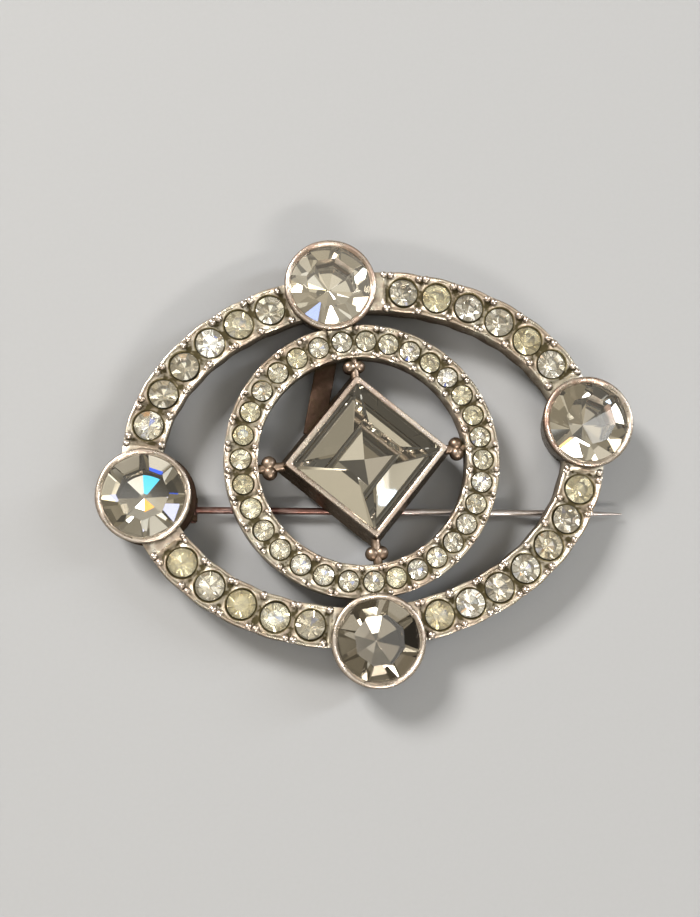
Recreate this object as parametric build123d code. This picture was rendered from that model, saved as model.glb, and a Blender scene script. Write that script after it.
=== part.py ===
from build123d import *

import os
from math import atan2, cos, degrees, pi, radians, sin, tan

# An oval brooch of soldered metal set with cut glass. Millimetres, +Z is the way the stones face.
# The brooch stands on the flat bottoms of its four round cups, at Z = 0.

# Oval band
OVAL_HALF_X = 20.55
OVAL_HALF_Y = 15.6
BAND_WIDTH = 3.75
BAND_BACK = 1.7
BAND_THICKNESS = 2.2
EDGE_CHAMFER = 0.25

# Raised edges and round grains of the band and of the inner ring
EDGE_RIM_WIDTH = 0.36
EDGE_RIM_HEIGHT = 0.14
GRAIN_RADIUS = 0.33
RING_GRAIN_RADIUS = 0.26
GRAIN_SINK = 0.06
GRAIN_LAP_SHARE = 0.5

# Round cups: a cone from a flat bottom to a rim that is folded over the stone
CUP_RIM_RADIUS = 4.3
CUP_TAPER = 0.8
CUP_WALL = 0.4
CUP_HEIGHT = 4.9
CUP_LIP_HEIGHT = 0.6
CUP_LIP_COVER = 0.2
CUP_FLOOR_CHAMFER = 0.25

# Inner ring, soldered to the top and bottom cups
RING_WIDTH = 3.08
RING_BACK = 1.9
RING_LAP = 0.52
RING_OFFSET_X = -0.42

# Square cup in the middle of the ring
SQUARE_OFFSET_X = -0.1
SQUARE_OFFSET_Y = -0.05
SQUARE_WALL = 0.325
SQUARE_FLARE = 0.5
SQUARE_BACK = 1.55
SQUARE_POINT_Z = 0.3
SQUARE_LIP_HEIGHT = 0.5
SQUARE_LIP_COVER = 0.16
SQUARE_CORNER = 0.3

# Pairs of balls on pegs that span from the square cup's corners to the ring
BALL_SPAN = 1.828
BALL_RADIUS = 0.72
BALL_SPREAD = 0.42
PEG_RADIUS = 0.45
BALL_CENTRE_Z = 3.1
PEG_SINK = 0.72

# Stones
BAND_STONE_DIAMETER = 2.6
RING_STONE_COUNT = 32
RING_STONE_SPACE = 0.4
STONE_GAP = 0.05
GIRDLE_SHARE = 0.04
SMALL_GIRDLE_SINK = 0.12
ROUND_TABLE_SHARE = 0.56
SMALL_TABLE_SHARE = 0.5
SQUARE_TABLE_SHARE = 0.46
BLANK_DEPTH_SHARE = 1.2

# Flat strap across the back, from the ring to the square cup
STRAP_WIDTH = 1.9
STRAP_THICKNESS = 0.55
STRAP_LAP = 0.1
STRAP_TOP_TURN = 103.0
STRAP_SLANT = 73.0
STRAP_UNDER_RING = 1.2
STRAP_UNDER_SQUARE = 1.6

# Pin stem, its hinge under the left cup and its catch under the band
STEM_DIAMETER = 0.65
STEM_SLOPE = -6.73
STEM_CENTRE_Z = 1.0
STEM_LENGTH = 40.6
STEM_TAPER = 4.5
STEM_TIP_RADIUS = 0.07
EYE_RADIUS = 0.5
EYE_WIDTH = 1.0
RIVET_RADIUS = 0.22
EYE_BORE_GAP = 0.04
EAR_BORE_GAP = 0.02
EAR_THICKNESS = 0.5
EAR_GAP = 0.06
RIVET_HEAD_THICKNESS = 0.12
RIVET_HEAD_EXTRA = 0.16
HINGE_PLATE_THICKNESS = 0.6
HINGE_PLATE_SHIFT = 0.45
HINGE_PLATE_GAP = 0.28
HINGE_TURN = -18.0
HINGE_SIDE_GAP = 0.42
CATCH_LENGTH = 1.8
CATCH_THICKNESS = 0.45
CATCH_SIDE_GAP = 0.5
CATCH_SWING_GAP = 0.1
CATCH_FLOOR_GAP = 0.2

# Shared by several pieces: how much of a thin edge is rounded off, the lap of two fused
# pieces, the reach of a search for edges, a corner left sharp, and the steps along an arc
ROUNDED_SHARE = 0.4
LAP = 0.05
NEAR = 0.01
SHARP_CORNER = 0.02
ARC_STEPS = 600

# Where each cup sits: name, turn on the oval in degrees, distance outside the centre line
CUPS = (
    ("right", 3.5, 0.44),
    ("top", 94.2, 0.69),
    ("left", 185.5, 0.14),
    ("bottom", 267.1, 1.22),
)

# The four arcs of the band: the cup that each starts at, the cup that it ends at, its stones,
# and the blank metal from a cup's rim to the nearest seat at its start and at its end
ARCS = (
    ("right", "top", 6, 0.75, 1.25),
    ("top", "left", 6, 0.35, 0.95),
    ("left", "bottom", 5, 1.35, 0.4),
    ("bottom", "right", 7, 0.3, 0.65),
)

# The setter's uneven spacing round the inner ring: share of the stones, turn in degrees
RING_SPACING = ((0.0, 5.2), (0.22, 82.0), (0.47, 174.2), (0.72, 268.7), (0.97, 354.6), (1.0, 365.2))

# Tiers of flat facets: facets in the tier, turn of the first in degrees, slope in degrees
# (below the girdle if negative), and its reach at the girdle as a share of the half width
ROUND_CUT = (
    (8, 0.0, 34.5, 1.0),
    (8, 0.0, -41.0, 1.0),
)
SMALL_CUT = (
    (8, 22.5, 37.0, 1.0),
    (8, 0.0, -41.0, 1.0),
)
SQUARE_CUT = (
    (4, 45.0, 32.0, 1.0),
    (4, 45.0, -37.0, 1.0),
)

# Worked out from the sizes above
BAND_TOP = BAND_BACK + BAND_THICKNESS
CUP_BASE_RADIUS = CUP_RIM_RADIUS - CUP_TAPER
CUP_GIRDLE_Z = CUP_HEIGHT - CUP_LIP_HEIGHT
ROUND_STONE_DIAMETER = 2 * (CUP_RIM_RADIUS - CUP_WALL)
SMALL_GIRDLE_Z = BAND_TOP - SMALL_GIRDLE_SINK
HINGE_PLATE_Z = STEM_CENTRE_Z + EYE_RADIUS + HINGE_PLATE_GAP


def oval_point(turn, out=0.0):
    """A point on the band's centre line, moved straight outwards by out."""
    t = radians(turn)
    normal = Vector(OVAL_HALF_Y * cos(t), OVAL_HALF_X * sin(t)).normalized()
    return Vector(OVAL_HALF_X * cos(t), OVAL_HALF_Y * sin(t)) + normal * out


def even_turns(start, end, count, start_blank, end_blank):
    """Turns of the stones of one arc, evenly spaced along the centre line between two cups."""
    if end < start:
        end += 360
    turns = [start + (end - start) * i / ARC_STEPS for i in range(ARC_STEPS + 1)]
    lengths = [0.0]
    for a, b in zip(turns, turns[1:]):
        lengths.append(lengths[-1] + (oval_point(b) - oval_point(a)).length)
    beside = CUP_RIM_RADIUS + BAND_STONE_DIAMETER / 2
    first = beside + start_blank
    last = lengths[-1] - beside - end_blank
    stations = [first + (last - first) * i / (count - 1) for i in range(count)]
    found = []
    for s in stations:
        i = max(k for k in range(ARC_STEPS) if lengths[k] <= s)
        share = (s - lengths[i]) / (lengths[i + 1] - lengths[i])
        found.append(turns[i] + share * (turns[i + 1] - turns[i]))
    return found


def eased(share):
    """The turn on the inner ring at a share of its stones, from the table of the setter's spacing."""
    for (s0, t0), (s1, t1) in zip(RING_SPACING, RING_SPACING[1:]):
        if share <= s1:
            return t0 + (t1 - t0) * (share - s0) / (s1 - s0)
    return RING_SPACING[-1][1]


CUP_TURN = {name: turn for name, turn, out in CUPS}
CUP_AT = {name: oval_point(turn, out) for name, turn, out in CUPS}
ARC_TURNS = [even_turns(CUP_TURN[a], CUP_TURN[b], count, u, v) for a, b, count, u, v in ARCS]

# The ring spans from the top cup to the bottom cup and laps under both rims
RING_TOP_Y = CUP_AT["top"].Y - CUP_RIM_RADIUS + RING_LAP
RING_BOTTOM_Y = CUP_AT["bottom"].Y + CUP_RIM_RADIUS - RING_LAP
RING_RADIUS = (RING_TOP_Y - RING_BOTTOM_Y) / 2
RING_INNER = RING_RADIUS - RING_WIDTH
RING_MIDDLE = RING_RADIUS - RING_WIDTH / 2
RING_AT = Vector(RING_OFFSET_X, (RING_TOP_Y + RING_BOTTOM_Y) / 2)
RING_TURNS = [eased(i / RING_STONE_COUNT) for i in range(RING_STONE_COUNT)]
RING_STONE_DIAMETER = 2 * pi * RING_MIDDLE / RING_STONE_COUNT - RING_STONE_SPACE

# The square cup leaves room for a ball between each of its corners and the ring
SQUARE_AT = Vector(SQUARE_OFFSET_X, SQUARE_OFFSET_Y)
SQUARE_REACH = RING_INNER - BALL_SPAN + SQUARE_CORNER * ROUNDED_SHARE
SQUARE_RIM_SIDE = SQUARE_REACH * 2 ** 0.5 - SQUARE_FLARE
SQUARE_STONE_SIDE = SQUARE_RIM_SIDE - 2 * SQUARE_WALL

# The hinge stands beside the left cup, and the stem runs from it towards the right
HINGE_REACH = CUP_BASE_RADIUS + HINGE_SIDE_GAP + EYE_RADIUS
HINGE_AT = CUP_AT["left"] + Vector(HINGE_REACH, 0).rotate(Axis.Z, HINGE_TURN)
STEM_WAY = Vector(1, 0).rotate(Axis.Z, STEM_SLOPE)
STEM_SIDE = Vector(0, 1).rotate(Axis.Z, STEM_SLOPE)

# The whole brooch is moved so that the middle of its outline stands over the origin
EDGE_X = (CUP_AT["left"].X - CUP_RIM_RADIUS, CUP_AT["right"].X + CUP_RIM_RADIUS)
EDGE_Y = (CUP_AT["bottom"].Y - CUP_RIM_RADIUS, CUP_AT["top"].Y + CUP_RIM_RADIUS)
MIDDLE = Vector(sum(EDGE_X) / 2, sum(EDGE_Y) / 2)


def crown_rise(tiers, half, share):
    """Height of the table over the girdle, where the lowest facets along its sides reach it."""
    sides = [(slope, reach) for count, first, slope, reach in tiers if slope > 0 and first == tiers[0][1]]
    return half * min((reach - share) * tan(radians(slope)) for slope, reach in sides)


def ground(blank, tiers, half, girdle):
    """Grind each tier of flat facets on a blank whose girdle lies on Z = 0."""
    stone = blank
    for count, first, slope, reach in tiers:
        up = 1 if slope > 0 else -1
        tilt = radians(abs(slope))
        for i in range(count):
            turn = radians(first + 360 * i / count)
            way = Vector(cos(turn), sin(turn))
            point = way * (reach * half) + Vector(0, 0, up * girdle / 2)
            normal = way * sin(tilt) + Vector(0, 0, up * cos(tilt))
            stone = split(stone, bisect_by=Plane(origin=point, z_dir=normal), keep=Keep.BOTTOM)
    return stone.solid()


def round_stone(diameter, tiers, table_share):
    """A round cut stone with its girdle on Z = 0."""
    half = diameter / 2
    girdle = diameter * GIRDLE_SHARE
    top = girdle / 2 + crown_rise(tiers, half, table_share)
    deep = half * BLANK_DEPTH_SHARE
    blank = Pos(0, 0, (top - deep) / 2) * Cylinder(half, top + deep)
    return ground(blank, tiers, half, girdle)


def square_stone(side):
    """A square cut stone with its corners on the axes and its girdle on Z = 0."""
    half = side / 2
    girdle = side * GIRDLE_SHARE / 2
    top = girdle / 2 + crown_rise(SQUARE_CUT, half, SQUARE_TABLE_SHARE)
    deep = half * BLANK_DEPTH_SHARE
    blank = Pos(0, 0, (top - deep) / 2) * Rot(0, 0, 45) * Box(side, side, top + deep)
    return ground(blank, SQUARE_CUT, half, girdle)


def stone_pocket(diameter, tiers, top, cover=0.0):
    """The hollow that a round stone lies in: the stone's envelope and its gap, open upwards to top.

    Where a rim is folded over the stone, cover is how far it reaches in over the girdle.
    """
    half = diameter / 2 + STONE_GAP
    girdle = diameter * GIRDLE_SHARE / 2 + STONE_GAP
    below = [tier for tier in tiers if tier[2] < 0][0]
    facet_slope = tan(radians(-below[2]))
    cone_slope = facet_slope * cos(pi / below[0])
    culet = girdle + facet_slope * diameter / 2 + STONE_GAP
    shoulder = cone_slope * half - culet
    outline = [(0, -culet), (half, min(shoulder, -girdle)), (half, girdle)]
    if cover:
        mouth = diameter / 2 - cover
        rise = girdle + (half - mouth) * tan(radians(tiers[0][2]))
        outline += [(mouth, rise), (mouth, top), (0, top)]
    else:
        outline += [(half, top), (0, top)]
    return revolve(Plane.XZ * make_face(Polyline(*outline, close=True)), Axis.Z)


def oval_plate(grow_out, grow_in, low, high):
    """A flat oval ring between the centre line grown by grow_out and shrunk by grow_in."""
    outer = Ellipse(OVAL_HALF_X + grow_out, OVAL_HALF_Y + grow_out)
    inner = Ellipse(OVAL_HALF_X - grow_in, OVAL_HALF_Y - grow_in)
    return Pos(0, 0, low) * extrude(outer - inner, high - low)


def round_plate(outer, inner, low, high):
    """A flat round ring about the inner ring's centre."""
    return Pos(RING_AT.X, RING_AT.Y, low) * extrude(Circle(outer) - Circle(inner), high - low)


def softened(plate, low, size):
    """Chamfer the edges of a plate that lie at its back."""
    return chamfer(plate.edges().filter_by_position(Axis.Z, low - NEAR, low + NEAR), size)


def band():
    """The oval band with its two raised edges."""
    half = BAND_WIDTH / 2
    plate = softened(oval_plate(half, half, BAND_BACK, BAND_TOP), BAND_BACK, EDGE_CHAMFER)
    high = BAND_TOP + EDGE_RIM_HEIGHT
    outer = oval_plate(half, EDGE_RIM_WIDTH - half, BAND_TOP - LAP, high)
    inner = oval_plate(EDGE_RIM_WIDTH - half, half, BAND_TOP - LAP, high)
    return [plate, outer, inner]


def ring():
    """The inner ring with its two raised edges."""
    plate = softened(round_plate(RING_RADIUS, RING_INNER, RING_BACK, BAND_TOP), RING_BACK, EDGE_CHAMFER)
    high = BAND_TOP + EDGE_RIM_HEIGHT
    outer = round_plate(RING_RADIUS, RING_RADIUS - EDGE_RIM_WIDTH, BAND_TOP - LAP, high)
    inner = round_plate(RING_INNER + EDGE_RIM_WIDTH, RING_INNER, BAND_TOP - LAP, high)
    return [plate, outer, inner]


def clear_of_cups(point, radius):
    """True where a grain of this radius stands outside every round cup."""
    return all((point - at).length > CUP_RIM_RADIUS + radius for at in CUP_AT.values())


def grains():
    """Round grains between the stones, at the outer and the inner edge of the band and the ring."""
    found = []
    across = BAND_WIDTH / 2 - EDGE_RIM_WIDTH - GRAIN_RADIUS * GRAIN_LAP_SHARE
    for turns in ARC_TURNS:
        for a, b in zip(turns, turns[1:]):
            for out in (across, -across):
                found.append((oval_point((a + b) / 2, out), GRAIN_RADIUS))
    reach = RING_WIDTH / 2 - EDGE_RIM_WIDTH - RING_GRAIN_RADIUS * GRAIN_LAP_SHARE
    for i, a in enumerate(RING_TURNS):
        b = RING_TURNS[i + 1] if i + 1 < RING_STONE_COUNT else RING_TURNS[0] + 360
        for out in (reach, -reach):
            spot = RING_AT + Vector(RING_MIDDLE + out, 0).rotate(Axis.Z, (a + b) / 2)
            found.append((spot, RING_GRAIN_RADIUS))
    low = BAND_TOP - GRAIN_SINK
    return [Pos(p.X, p.Y, low) * Sphere(r) for p, r in found if clear_of_cups(p, r)]


def cup():
    """A round cup about the Z axis, as a solid cone with a rounded rim."""
    lip = CUP_RIM_RADIUS - (ROUND_STONE_DIAMETER / 2 - CUP_LIP_COVER)
    round_off = lip * ROUNDED_SHARE
    outline = Polyline(
        (0, 0),
        (CUP_BASE_RADIUS - CUP_FLOOR_CHAMFER, 0),
        (CUP_BASE_RADIUS, CUP_FLOOR_CHAMFER),
        (CUP_RIM_RADIUS, CUP_HEIGHT - CUP_LIP_HEIGHT),
        (CUP_RIM_RADIUS, CUP_HEIGHT - round_off),
        (CUP_RIM_RADIUS - round_off, CUP_HEIGHT),
        (0, CUP_HEIGHT),
        (0, 0),
    )
    return revolve(Plane.XZ * make_face(outline), Axis.Z)


def square_block(side, corner, z):
    """A rounded square sketch with its corners on the axes, at a height."""
    return Pos(SQUARE_AT.X, SQUARE_AT.Y, z) * Rot(0, 0, 45) * RectangleRounded(side, side, corner)


def square_cup():
    """The square cup as a solid whose walls flare towards its back."""
    flared = SQUARE_RIM_SIDE + 2 * SQUARE_FLARE
    wall_top = SQUARE_RIM_Z - SQUARE_LIP_HEIGHT
    foot = square_block(flared, SQUARE_CORNER, SQUARE_BACK)
    walls = loft([foot, square_block(SQUARE_RIM_SIDE, SQUARE_CORNER, wall_top)])
    rim = extrude(square_block(SQUARE_RIM_SIDE, SQUARE_CORNER, wall_top - LAP), SQUARE_LIP_HEIGHT + LAP)
    top_edges = rim.edges().filter_by_position(Axis.Z, SQUARE_RIM_Z - NEAR, SQUARE_RIM_Z + NEAR)
    return [walls, chamfer(top_edges, SQUARE_CORNER * ROUNDED_SHARE)]


# The square stone's point shows at the cup's open back, clear of what the brooch stands on
SQUARE_HALF_GIRDLE = SQUARE_STONE_SIDE * GIRDLE_SHARE / 4
SQUARE_POINT_SLOPE = tan(radians(-SQUARE_CUT[1][2]))
SQUARE_GIRDLE_Z = SQUARE_POINT_Z + SQUARE_STONE_SIDE / 2 * SQUARE_POINT_SLOPE + SQUARE_HALF_GIRDLE
SQUARE_RIM_Z = SQUARE_GIRDLE_Z + SQUARE_LIP_HEIGHT


def square_pocket():
    """The hollow of the square cup: the stone and its gap, open to the top and to the back."""
    gap = STONE_GAP
    half = SQUARE_STONE_SIDE / 2
    girdle = SQUARE_HALF_GIRDLE + gap
    mouth = 2 * (half - SQUARE_LIP_COVER)
    rise = girdle + (half - mouth / 2 + gap) * tan(radians(SQUARE_CUT[0][2])) + gap

    def sketch(side, height):
        return square_block(side, SHARP_CORNER, SQUARE_GIRDLE_Z + height)

    side = SQUARE_STONE_SIDE + 2 * gap
    tip = 2 * gap + 4 * SHARP_CORNER
    tip_z = -girdle - (side - tip) / 2 * SQUARE_POINT_SLOPE
    return [
        loft([sketch(tip, tip_z), sketch(side, -girdle)]),
        extrude(sketch(side, -girdle), 2 * girdle),
        loft([sketch(side, girdle), sketch(mouth, rise)]),
        extrude(sketch(mouth, rise), SQUARE_RIM_Z),
    ]


def balls():
    """A pair of balls on a peg from each corner of the square cup to the inside of the ring."""
    corner = RING_INNER - BALL_SPAN
    found = []
    for turn in (0, 90, 180, 270):
        way = Vector(1, 0).rotate(Axis.Z, turn)
        start = SQUARE_AT + way * corner
        # where the line from the square cup's corner meets the ring's inner wall
        off = SQUARE_AT - RING_AT
        along = off.dot(way)
        across2 = off.dot(off) - along ** 2
        end = SQUARE_AT + way * ((RING_INNER ** 2 - across2) ** 0.5 - along)
        middle = (start + end) * 0.5
        length = (end - start).length + 2 * PEG_SINK
        line = Plane(origin=(middle.X, middle.Y, BALL_CENTRE_Z), z_dir=way)
        found.append(line * Cylinder(PEG_RADIUS, length))
        # each ball's seam faces away from its neighbour, clear of the peg
        for side in (90, -90):
            out = way.rotate(Axis.Z, side)
            spot = middle + out * BALL_SPREAD
            seat = Plane(origin=(spot.X, spot.Y, BALL_CENTRE_Z), x_dir=out, z_dir=(0, 0, 1))
            found.append(seat * Sphere(BALL_RADIUS))
    return found


def strap():
    """The flat strap across the back, from under the ring to under the square cup."""
    way = Vector(1, 0).rotate(Axis.Z, STRAP_SLANT)
    top = RING_AT + Vector(RING_INNER, 0).rotate(Axis.Z, STRAP_TOP_TURN)
    # the strap runs down from the ring until it is under the wall of the square cup
    back_side = SQUARE_RIM_SIDE / 2 + SQUARE_FLARE
    wall = Vector(-1, 1).normalized()
    run = ((top - SQUARE_AT).dot(wall) - back_side) / way.dot(wall)
    low = top - way * (run + STRAP_UNDER_SQUARE)
    high = top + way * STRAP_UNDER_RING
    middle = (low + high) * 0.5
    height = RING_BACK + STRAP_LAP + EDGE_CHAMFER - STRAP_THICKNESS / 2
    place = Pos(middle.X, middle.Y, height) * Rot(0, 0, STRAP_SLANT)
    return place * Box((high - low).length, STRAP_WIDTH, STRAP_THICKNESS)


def stem_frame(distance, z=STEM_CENTRE_Z):
    """A plane on the stem's line at a distance from the hinge: X along the stem, Y across it."""
    spot = HINGE_AT + STEM_WAY * distance
    return Plane(origin=(spot.X, spot.Y, z), x_dir=STEM_WAY, z_dir=(0, 0, 1))


def across_cylinder(radius, width, offset=0.0):
    """A cylinder on the hinge's axis."""
    axis_plane = Plane(origin=(HINGE_AT.X, HINGE_AT.Y, STEM_CENTRE_Z), z_dir=STEM_SIDE)
    return axis_plane * Pos(0, 0, offset) * Cylinder(radius, width)


def hinge():
    """The plate under the left cup and the two ears that hold the rivet."""
    spot = CUP_AT["left"] + Vector(HINGE_PLATE_SHIFT, 0).rotate(Axis.Z, STEM_SLOPE)
    height = HINGE_PLATE_Z + HINGE_PLATE_THICKNESS / 2
    found = [Pos(spot.X, spot.Y, height) * Cylinder(CUP_RIM_RADIUS, HINGE_PLATE_THICKNESS)]
    out = EYE_WIDTH / 2 + EAR_GAP + EAR_THICKNESS / 2
    rise = HINGE_PLATE_Z + LAP - STEM_CENTRE_Z
    for side in (out, -out):
        found.append(across_cylinder(EYE_RADIUS, EAR_THICKNESS, side))
        found.append(stem_frame(0) * Pos(0, side, rise / 2) * Box(2 * EYE_RADIUS, EAR_THICKNESS, rise))
    return found


def catch():
    """The hook under the band: its lip stops short of the stem's straight way out."""
    distance = (oval_point(catch_turn()) - HINGE_AT).dot(STEM_WAY)
    stem = STEM_DIAMETER / 2
    inside = -stem - CATCH_SIDE_GAP
    outside = inside - CATCH_THICKNESS
    low = CATCH_FLOOR_GAP - STEM_CENTRE_Z
    top = BAND_BACK + EDGE_CHAMFER - STEM_CENTRE_Z
    lip = -stem - CATCH_SWING_GAP
    outline = Polyline(
        (outside, top), (outside, low), (lip, low), (lip, low + CATCH_THICKNESS),
        (inside, low + CATCH_THICKNESS), (inside, top), (outside, top)
    )
    across = stem_frame(distance)
    side = Plane(origin=across.origin, x_dir=STEM_SIDE, z_dir=-STEM_WAY)
    hook = extrude(side * make_face(outline), CATCH_LENGTH / 2, both=True)
    along = hook.edges().filter_by(Axis((0, 0, 0), STEM_WAY))
    low_edges = [edge for edge in along if edge.center().Z < CATCH_FLOOR_GAP + NEAR]
    return fillet(low_edges, CATCH_THICKNESS * ROUNDED_SHARE)


def catch_turn():
    """The turn on the oval where the stem crosses under the band's centre line on the right."""
    turns = [270 + 90 * i / ARC_STEPS for i in range(ARC_STEPS)]
    return min(turns, key=lambda turn: abs((oval_point(turn) - HINGE_AT).dot(STEM_SIDE)))


def pin_stem():
    """The stem: an eye round the rivet and a long wire that tapers to a point."""
    eye = across_cylinder(EYE_RADIUS, EYE_WIDTH)
    radius = STEM_DIAMETER / 2
    straight = STEM_LENGTH - STEM_TAPER
    tip = (STEM_LENGTH, STEM_TIP_RADIUS)
    outline = Polyline((0, 0), (0, radius), (straight, radius), tip, (STEM_LENGTH, 0), (0, 0))
    turned = Plane(origin=stem_frame(0).origin, x_dir=STEM_WAY, z_dir=(0, 0, 1)) * make_face(outline)
    line = Axis((HINGE_AT.X, HINGE_AT.Y, STEM_CENTRE_Z), STEM_WAY)
    wire = revolve(turned, line)
    return (eye + wire) - across_cylinder(RIVET_RADIUS + EYE_BORE_GAP, 2 * EYE_WIDTH)


def rivet_length():
    """The length of the rivet between its heads."""
    return EYE_WIDTH + 2 * EAR_GAP + 2 * EAR_THICKNESS + 2 * EAR_BORE_GAP


def hinge_rivet():
    """The rivet through both ears, with a flat head at each end."""
    length = rivet_length()
    head = (length + RIVET_HEAD_THICKNESS) / 2
    shank = across_cylinder(RIVET_RADIUS, length + LAP)
    wide = RIVET_RADIUS + RIVET_HEAD_EXTRA
    heads = [across_cylinder(wide, RIVET_HEAD_THICKNESS, side) for side in (head, -head)]
    return shank + heads[0] + heads[1]


def seat_places():
    """Each small round seat: place, stone diameter."""
    found = [(oval_point(t), BAND_STONE_DIAMETER) for turns in ARC_TURNS for t in turns]
    for turn in RING_TURNS:
        found.append((RING_AT + Vector(RING_MIDDLE, 0).rotate(Axis.Z, turn), RING_STONE_DIAMETER))
    return found


def setting():
    """All the soldered metal as one solid, with a hollow for every stone."""
    metal = band() + ring() + grains() + square_cup() + balls() + [strap()] + hinge() + [catch()]
    metal += [Pos(p.X, p.Y, 0) * cup() for p in CUP_AT.values()]
    body = metal[0].fuse(*metal[1:])
    hollows = []
    hollow = stone_pocket(ROUND_STONE_DIAMETER, ROUND_CUT, CUP_HEIGHT, CUP_LIP_COVER)
    hollows += [Pos(p.X, p.Y, CUP_GIRDLE_Z) * hollow for p in CUP_AT.values()]
    for p, diameter in seat_places():
        hollows.append(Pos(p.X, p.Y, SMALL_GIRDLE_Z) * stone_pocket(diameter, SMALL_CUT, BAND_THICKNESS))
    hollows += square_pocket()
    hollows.append(across_cylinder(RIVET_RADIUS + EAR_BORE_GAP, 2 * rivet_length()))
    return body.cut(*hollows)


def stones():
    """Every stone, by the name of its node."""
    big = round_stone(ROUND_STONE_DIAMETER, ROUND_CUT, ROUND_TABLE_SHARE)
    made = {}
    for name, p in CUP_AT.items():
        made[f"round_stone_{name}"] = Pos(p.X, p.Y, CUP_GIRDLE_Z) * big
    made["square_stone"] = Pos(SQUARE_AT.X, SQUARE_AT.Y, SQUARE_GIRDLE_Z) * square_stone(SQUARE_STONE_SIDE)
    small = round_stone(BAND_STONE_DIAMETER, SMALL_CUT, SMALL_TABLE_SHARE)
    tiny = round_stone(RING_STONE_DIAMETER, SMALL_CUT, SMALL_TABLE_SHARE)
    ring_stones = []
    number = 0
    for p, diameter in seat_places():
        turn = degrees(atan2(p.Y - RING_AT.Y, p.X - RING_AT.X))
        place = Pos(p.X, p.Y, SMALL_GIRDLE_Z) * Rot(0, 0, turn)
        if diameter == RING_STONE_DIAMETER:
            ring_stones.append(place * tiny)
        else:
            number += 1
            made[f"band_stone_{number:02d}"] = place * small
    made["ring_stones"] = Compound(ring_stones)
    return made


def main():
    os.makedirs("parts", exist_ok=True)
    nodes = {"setting": setting(), "pin_stem": pin_stem(), "hinge_rivet": hinge_rivet()}
    nodes.update(stones())
    for name, shape in nodes.items():
        export_step(Pos(-MIDDLE.X, -MIDDLE.Y, 0) * shape, f"parts/{name}.step")
    hinge_at = HINGE_AT - MIDDLE
    print("hinge at", round(hinge_at.X, 4), round(hinge_at.Y, 4), STEM_CENTRE_Z)
    print("hinge axis", round(STEM_SIDE.X, 6), round(STEM_SIDE.Y, 6))
    print("round stones", round(ROUND_STONE_DIAMETER, 3), "ring stones", round(RING_STONE_DIAMETER, 3))
    print("square cup", round(SQUARE_RIM_SIDE, 3), "its rim at", round(SQUARE_RIM_Z, 3))


main()
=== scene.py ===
"""An oval brooch of soldered metal set with cut glass, dressed for its portrait.

Sizes are in millimetres about the middle of the oval, and every mesh is brought to metres in the
shared frame when it is finished. +Z is the way the stones face.
"""

import logging
from dataclasses import dataclass, field, replace
from enum import Enum
from math import acos, atan2, cos, degrees, exp, pi, radians, sin, tan
from random import Random
from typing import Callable, Iterable, Iterator, NamedTuple, Sequence

import bmesh
import bpy
import numpy as np
from mathutils import Matrix, Vector


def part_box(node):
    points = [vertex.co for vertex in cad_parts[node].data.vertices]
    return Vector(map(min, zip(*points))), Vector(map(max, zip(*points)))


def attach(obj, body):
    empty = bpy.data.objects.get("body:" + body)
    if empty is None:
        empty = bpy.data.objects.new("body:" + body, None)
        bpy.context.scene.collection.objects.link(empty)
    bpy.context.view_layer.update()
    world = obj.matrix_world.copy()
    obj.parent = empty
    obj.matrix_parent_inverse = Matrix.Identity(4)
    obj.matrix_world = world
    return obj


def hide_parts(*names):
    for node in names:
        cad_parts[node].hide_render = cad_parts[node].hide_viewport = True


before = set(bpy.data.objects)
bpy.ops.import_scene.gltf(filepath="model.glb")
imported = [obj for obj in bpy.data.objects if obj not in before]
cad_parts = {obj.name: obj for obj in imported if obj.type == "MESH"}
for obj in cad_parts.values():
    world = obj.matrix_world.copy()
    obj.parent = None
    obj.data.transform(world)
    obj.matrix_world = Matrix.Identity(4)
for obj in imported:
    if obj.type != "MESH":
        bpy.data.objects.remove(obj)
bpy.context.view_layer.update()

LOG = logging.getLogger("brooch")
MM = 0.001
SQUARE_MIDDLE = Vector((-0.1, -0.05, 0.0))
SHIFT = (sum(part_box("square_stone"), Vector()) / 2 / MM - SQUARE_MIDDLE).xy.to_3d()
Colour = tuple[float, float, float]
WHITE = (1.0, 1.0, 0.98)
PLAIN_SKY, WARM_SKY, COOL_SKY = (2.2, 2.2, 2.1), (2.2, 2.1, 1.9), (2.0, 2.1, 2.2)


# Shader arithmetic and nodes


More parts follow.
